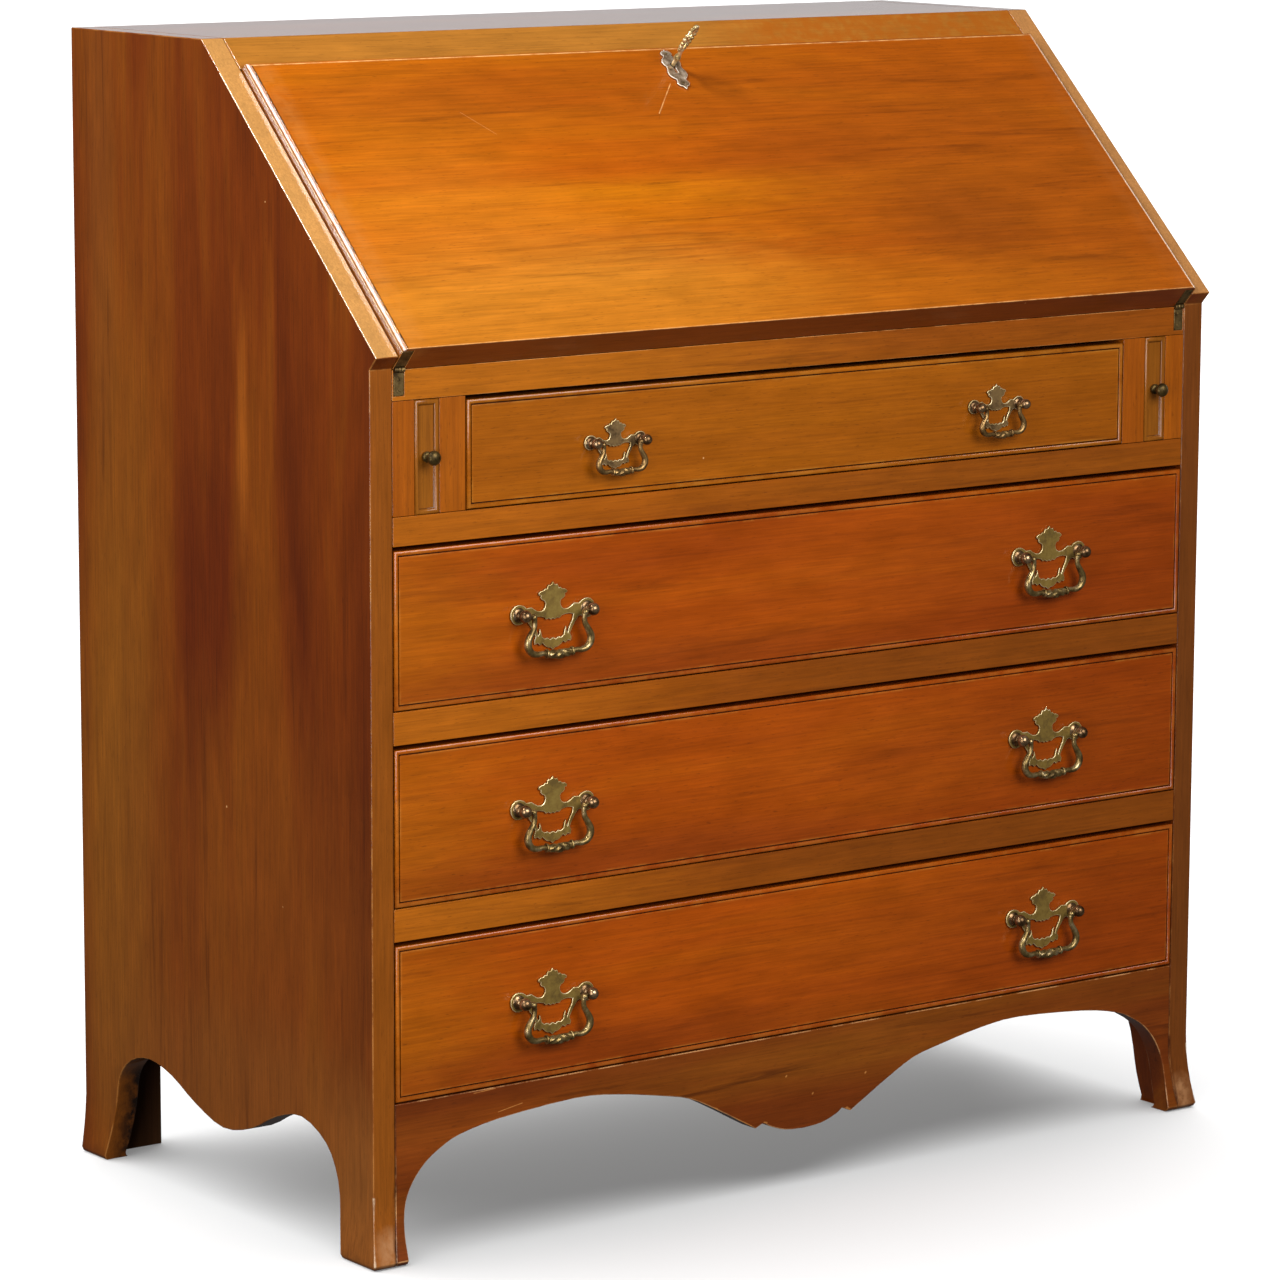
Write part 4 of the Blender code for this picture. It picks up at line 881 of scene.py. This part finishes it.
def fit_pull(row, side, body, x, z, scale, brasses):
    """A pierced plate with its two posts on a drawer's front, and the bail that swings from them."""
    wide = scale == 1
    ball = BALL if wide else SMALL_BALL
    place = Matrix.Translation((x, FRONT - SEATED, z))
    bm = bmesh.new()
    add_plate(bm, millimetres(PLATE_OUTLINE, scale), [millimetres(PLATE_WINDOW, scale)], PLATE_THICK,
              PLATE_ARRIS, place)
    sawn = set_filed_edge_finish(bm, Vector((0, -1, 0)))
    post = ball_end([(out, radius * (1 if wide else SLIM_POST)) for out, radius in PULL_POST], ball)
    for sign in (-1, 1):
        add_turned(bm, millimetres(post),
                   place @ Matrix.Translation((sign * POST_MM * scale / 1000, 0, 0)))
    for turned in set(bm.faces) - sawn:
        turned.material_index = 2
    new_piece(f"{row}_pull_plate_{side}", bm, (brasses[0], plate_edge, post_brass), body,
              [f"{row}_plate_{side}"])
    bm = bmesh.new()
    add_bail(bm, scale, place @ Matrix.Translation((0, -PIVOT_OUT, 0)), ball)
    new_piece(f"{row}_pull_bail_{side}", bm, brasses[1], f"{row}_bail_{side}",
              [f"{row}_bail_{side}"])


for side, sign in (("left", -1), ("right", 1)):
    for row, bottom in ROWS.items():
        fit_pull(row, side, f"{row}_drawer", sign * WIDE_PULL_X, bottom + PULL_UP, 1,
                 (pull_brass, bail_brass))
    fit_pull("top", side, "top_drawer", sign * TOP_PULL_X, TOP_PULL_Z, SMALL_PULL,
             (small_pull_brass, small_bail_brass))


# ---- escutcheon and key ----

ESCUTCHEON = mirrored([
    (0.0, 24.0), (1.2, 22.4), (3.0, 22.6), (5.4, 20.4), (6.0, 18.4), (4.4, 16.8), (5.4, 14.6),
    (8.2, 12.6), (9.8, 9.4), (9.4, 6.0), (7.6, 3.4), (8.4, 0.4), (10.0, -3.2), (9.8, -7.2),
    (7.6, -10.2), (5.0, -12.2), (5.6, -14.8), (6.6, -17.4), (4.8, -20.0), (2.4, -20.6),
    (1.2, -22.6), (0.0, -24.0),
])

PLATE_DROP = 5.0  # the escutcheon's middle, below the keyhole
ESCUTCHEON_THICK, ESCUTCHEON_ARRIS = 0.0014, 0.0004
PIN_HEAD = [(0.9, 0), (0.9, 1.5), (1.5, 1.3), (1.9, 0.8), (2.05, 0)]
PIN_HEIGHTS = (14.0, -21.6)


def keyhole():
    """Round hole with a slot below it, in mm round the key's axis."""
    radius, half, low = 2.9, 1.3, -9.6
    first = -math.pi / 2 + math.asin(half / radius)
    sweep = 2 * math.pi - 2 * math.asin(half / radius)
    arc = [(radius * math.cos(first + sweep * i / 20), radius * math.sin(first + sweep * i / 20))
           for i in range(21)]
    return [*arc, (-half, low), (half, low)]


def fit_escutcheon():
    """Sawn plate round the keyhole, held by two round-headed pins."""
    on_fall = stand_on_fall(0, LOCK_S, FALL_THICK + 0.0003)
    bm = bmesh.new()
    outline = [(x, z - PLATE_DROP) for x, z in ESCUTCHEON]
    add_plate(bm, millimetres(outline), [millimetres(keyhole())], ESCUTCHEON_THICK, ESCUTCHEON_ARRIS,
              on_fall)
    sawn = set_filed_edge_finish(bm, Vector(SLANT))
    for z in PIN_HEIGHTS:
        add_turned(bm, millimetres(PIN_HEAD), on_fall @ Matrix.Translation((0, 0, z / 1000)), 16)
    for head in set(bm.faces) - sawn:
        head.material_index = 2
    new_piece("escutcheon_plate", bm, (escutcheon_brass, escutcheon_edge, hinge_brass), "fall",
              ["escutcheon"])


KEY_TILT = -30  # degrees that the bow stands off upright
BOW_OUT = 34.6  # the bow's middle, out from the fall's face
BOW_HALF_WIDE, BOW_HALF_LONG = 11.0, 13.6
BEAD, WIRE, SCROLL, BUTTON = 0.00195, 0.00115, 0.0010, 0.0021  # radii of the bow's parts
KEY_SHAFT = [(8.6, 2.0), (9.2, 3.0), (10.4, 3.3), (11.6, 3.0), (12.0, 2.3), (13.2, 2.9), (14.4, 2.3),
             (16.0, 1.9), (20.6, 1.7), (20.8, 0)]  # out from the fall's face


def fit_key():
    """Turned shaft with collars, and an oval bow: a ring of beads with two scrolls inside."""
    stand = stand_on_fall(0, LOCK_S) @ Matrix.Rotation(math.radians(KEY_TILT), 4, "Y")
    bm = bmesh.new()
    face = FALL_THICK * 1000
    shaft = [(2.2, 0), (2.2, 2.0), *((face + out, radius) for out, radius in KEY_SHAFT)]
    add_turned(bm, millimetres(shaft), stand, 20)
    bow = (stand @ Matrix.Translation((0, -(face + BOW_OUT) / 1000, 0))
           @ Matrix.Rotation(-math.pi / 2, 4, "X"))
    turns = 20
    oval = [(BOW_HALF_WIDE * math.cos(2 * math.pi * i / turns),
             BOW_HALF_LONG * math.sin(2 * math.pi * i / turns)) for i in range(turns + 1)]
    for x, z in oval[:-1]:
        add_ball(bm, (x / 1000, 0, z / 1000), BEAD, bow, 12, 8)
    add_rod(bm, millimetres([*oval, oval[1]]), [WIRE] * (turns + 2), bow, 8)
    for sign in (-1, 1):
        scroll = curve_through([(0.0, -12.6), (4.0 * sign, -9.0), (5.2 * sign, -3.6),
                                (2.2 * sign, 0.0), (5.2 * sign, 4.0), (4.0 * sign, 8.8),
                                (0.0, 12.4)], 4)
        add_rod(bm, millimetres(scroll), [SCROLL] * len(scroll), bow, 8)
    add_ball(bm, (0, 0, 0), BUTTON, bow, 12, 8)
    new_piece("key_turned", bm, key_brass, "key", ["key"])


fit_escutcheon()
fit_key()


# ---- fall hinges ----

HINGE_X = 0.4282
LEAF_HALF, LEAF_REACH = 5.0, 21.5
LEAF_THICK, LEAF_ARRIS = 0.0015, 0.0003
BARREL, BARREL_ARRIS = 2.4, 0.3
CASE_LEAF_TOP, FALL_LEAF_TOP = -2.6, -3.3  # where each leaf leaves the barrel
CASE_KNUCKLES = ((-5.0, -1.9), (1.9, 5.0))
FALL_KNUCKLE = [(-1.55, 0), (-1.55, 2.2), (-1.3, 2.4), (1.3, 2.4), (1.55, 2.2), (1.55, 0)]
PIN = [(-5.4, 0), (-5.4, 0.9), (5.4, 0.9), (5.4, 0)]
SCREW_HEIGHTS = (-7.4, -17.6)
SCREW, SCREW_SLOT = 1.9, 0.22


def add_slotted_screw(bm, place):
    """Countersunk screw head: a domed disc with its slot left open between two halves."""
    steps = 10
    for sign in (-1, 1):
        half = []
        for i in range(steps + 1):
            angle = -math.pi / 2 + math.pi * i / steps
            half.append((sign * (SCREW_SLOT + (SCREW - SCREW_SLOT) * math.cos(angle)),
                         SCREW * math.sin(angle)))
        if sign < 0:
            half = half[::-1]
        add_plate(bm, millimetres(half), [], 0.0005, 0.00012, place)


def hinge_leaf(top):
    """Leaf outline in mm with rounded far corners."""
    corner = 1.2
    outline = [(-LEAF_HALF, top), (LEAF_HALF, top)]
    for centre, first in (((LEAF_HALF - corner, -LEAF_REACH + corner), 0),
                          ((-LEAF_HALF + corner, -LEAF_REACH + corner), -90)):
        for i in range(5):
            angle = math.radians(first - 90 * i / 4)
            outline.append((centre[0] + corner * math.cos(angle),
                            centre[1] + corner * math.sin(angle)))
    return outline


def fit_hinge(side, sign):
    """Both leaves of one hinge: the case's with its pin and screws, the fall's with one knuckle."""
    centre = sign * HINGE_X
    barrel = Matrix.Translation((centre, FRONT, HINGE_Z)) @ Matrix.Rotation(math.pi / 2, 4, "Z")
    bm = bmesh.new()
    add_plate(bm, millimetres(hinge_leaf(CASE_LEAF_TOP)), [], LEAF_THICK, LEAF_ARRIS,
              Matrix.Translation((centre, FRONT + 0.0018, HINGE_Z)))
    for start, end in CASE_KNUCKLES:
        knuckle = [(start, 0), (start, BARREL - BARREL_ARRIS), (start + BARREL_ARRIS, BARREL),
                   (end - BARREL_ARRIS, BARREL), (end, BARREL - BARREL_ARRIS), (end, 0)]
        add_turned(bm, millimetres(knuckle), barrel)
    add_turned(bm, millimetres(PIN), barrel, 16)
    for z in SCREW_HEIGHTS:
        driven = math.radians(35 + 40 * sign + 3 * z)
        add_slotted_screw(bm, Matrix.Translation((centre, FRONT + 0.00045, HINGE_Z + z / 1000))
                          @ Matrix.Rotation(driven, 4, "Y"))
    new_piece(f"case_hinge_{side}_leaf", bm, hinge_brass, "case",
              [f"case_hinge_{side}"])
    bm = bmesh.new()
    up_thickness = Matrix(((1, 0, 0, 0), (0, math.cos(SLOPE), -math.sin(SLOPE), 0),
                           (0, math.sin(SLOPE), math.cos(SLOPE), 0), (0, 0, 0, 1)))
    fall_place = Matrix.Translation((centre, *slope(0.0006 + LEAF_THICK, 0))) @ up_thickness
    leaf = [(x, -z) for x, z in hinge_leaf(FALL_LEAF_TOP)]
    add_plate(bm, millimetres(leaf), [], LEAF_THICK, LEAF_ARRIS, fall_place)
    add_turned(bm, millimetres(FALL_KNUCKLE), barrel)
    new_piece(f"fall_hinge_{side}_leaf", bm, hinge_brass, "fall",
              [f"fall_hinge_{side}"])


fit_hinge("left", -1)
fit_hinge("right", 1)


# ---- floor, lights, camera ----


def pale_floor():
    """Painted board sweep, rolled on dead matt: it shows the desk's soft shadow and nothing else."""
    material = plain_finish("pale_sweep", "#B8B8B8", 0.95)
    shader = material.node_tree.nodes["Principled BSDF"]
    shader.inputs["Specular IOR Level"].default_value = 0.0
    # a lit sweep is never black under furniture: its far parts light its shaded ones
    shader.inputs["Emission Color"].default_value = (1, 1, 1, 1)
    shader.inputs["Emission Strength"].default_value = 0.20
    bm = bmesh.new()
    bmesh.ops.create_grid(bm, x_segments=1, y_segments=1, size=60)
    mesh = bpy.data.meshes.new("floor")
    bm.to_mesh(mesh)
    bm.free()
    mesh.materials.append(material)
    sweep = bpy.data.objects.new("floor", mesh)
    scene.collection.objects.link(sweep)
    sweep.visible_diffuse = False
    sweep.visible_glossy = False
    return sweep


def receivers(name, link_state):
    """A collection for light linking that takes the floor in or leaves it out."""
    group = bpy.data.collections.new(name)
    group.objects.link(floor)
    group.collection_objects[0].light_linking.link_state = link_state
    return group


floor = pale_floor()
all_but_floor = receivers("all_but_floor", "EXCLUDE")
floor_only = receivers("floor_only", "INCLUDE")

studio = bpy.data.worlds.new("studio")
scene.world = studio
studio.use_nodes = True
studio.node_tree.nodes["Background"].inputs["Color"].default_value = linear("#F0F0F0")
studio.node_tree.nodes["Background"].inputs["Strength"].default_value = 0.05


def hang(light, towards, distance, receiving, target=(0, 0, 0.55)):
    """Hangs a light in a direction from the desk's middle, facing it."""
    lamp = bpy.data.objects.new(light.name, light)
    direction = Vector(towards).normalized()
    lamp.location = Vector(target) + direction * distance
    lamp.rotation_euler = (-direction).to_track_quat("-Z", "Y").to_euler()
    lamp.visible_camera = False
    lamp.light_linking.receiver_collection = receiving
    scene.collection.objects.link(lamp)


def softbox(name, towards, distance, size, power):
    """White softbox for the desk alone; the floor has its own wash."""
    light = bpy.data.lights.new(name, "AREA")
    light.shape = "RECTANGLE"
    light.size, light.size_y = size
    light.energy = power
    hang(light, towards, distance, all_but_floor)


softbox("upper_left_box", (-0.60, -0.05, 0.80), 3.0, (0.45, 0.45), 76)
softbox("front_box", (0.0, -0.90, 0.45), 3.4, (2.4, 2.0), 104)
softbox("left_box", (-0.85, -0.50, 0.12), 3.2, (1.6, 2.2), 55)
softbox("right_box", (1.0, 0.35, 0.10), 3.4, (1.6, 2.0), 30)
softbox("back_card", (0.3, 1.0, 0.16), 4.0, (5.0, 1.6), 17)

# the floor's wash comes from behind and above, so the shadow falls soft and forwards
wash = bpy.data.lights.new("floor_wash", "SUN")
wash.energy = 8.7
wash.angle = math.radians(125)
hang(wash, (-0.08, 0.36, 0.90), 5.0, floor_only)

HEADING, LOOKING_DOWN, ROLL = -36.6661, 9.7018, 0.2204  # degrees
eye = bpy.data.cameras.new("eye")
eye.lens = 148.13
eye.sensor_width = 36.0
eye.clip_end = 200.0
camera = bpy.data.objects.new("eye", eye)
camera.location = (-2.81919, -3.76711, 1.26169)
camera.rotation_euler = (
    Matrix.Rotation(math.radians(HEADING), 4, "Z")
    @ Matrix.Rotation(math.radians(90 - LOOKING_DOWN), 4, "X")
    @ Matrix.Rotation(math.radians(ROLL), 4, "Z")
).to_euler()
scene.collection.objects.link(camera)
scene.camera = camera
scene.view_settings.view_transform = "Standard"
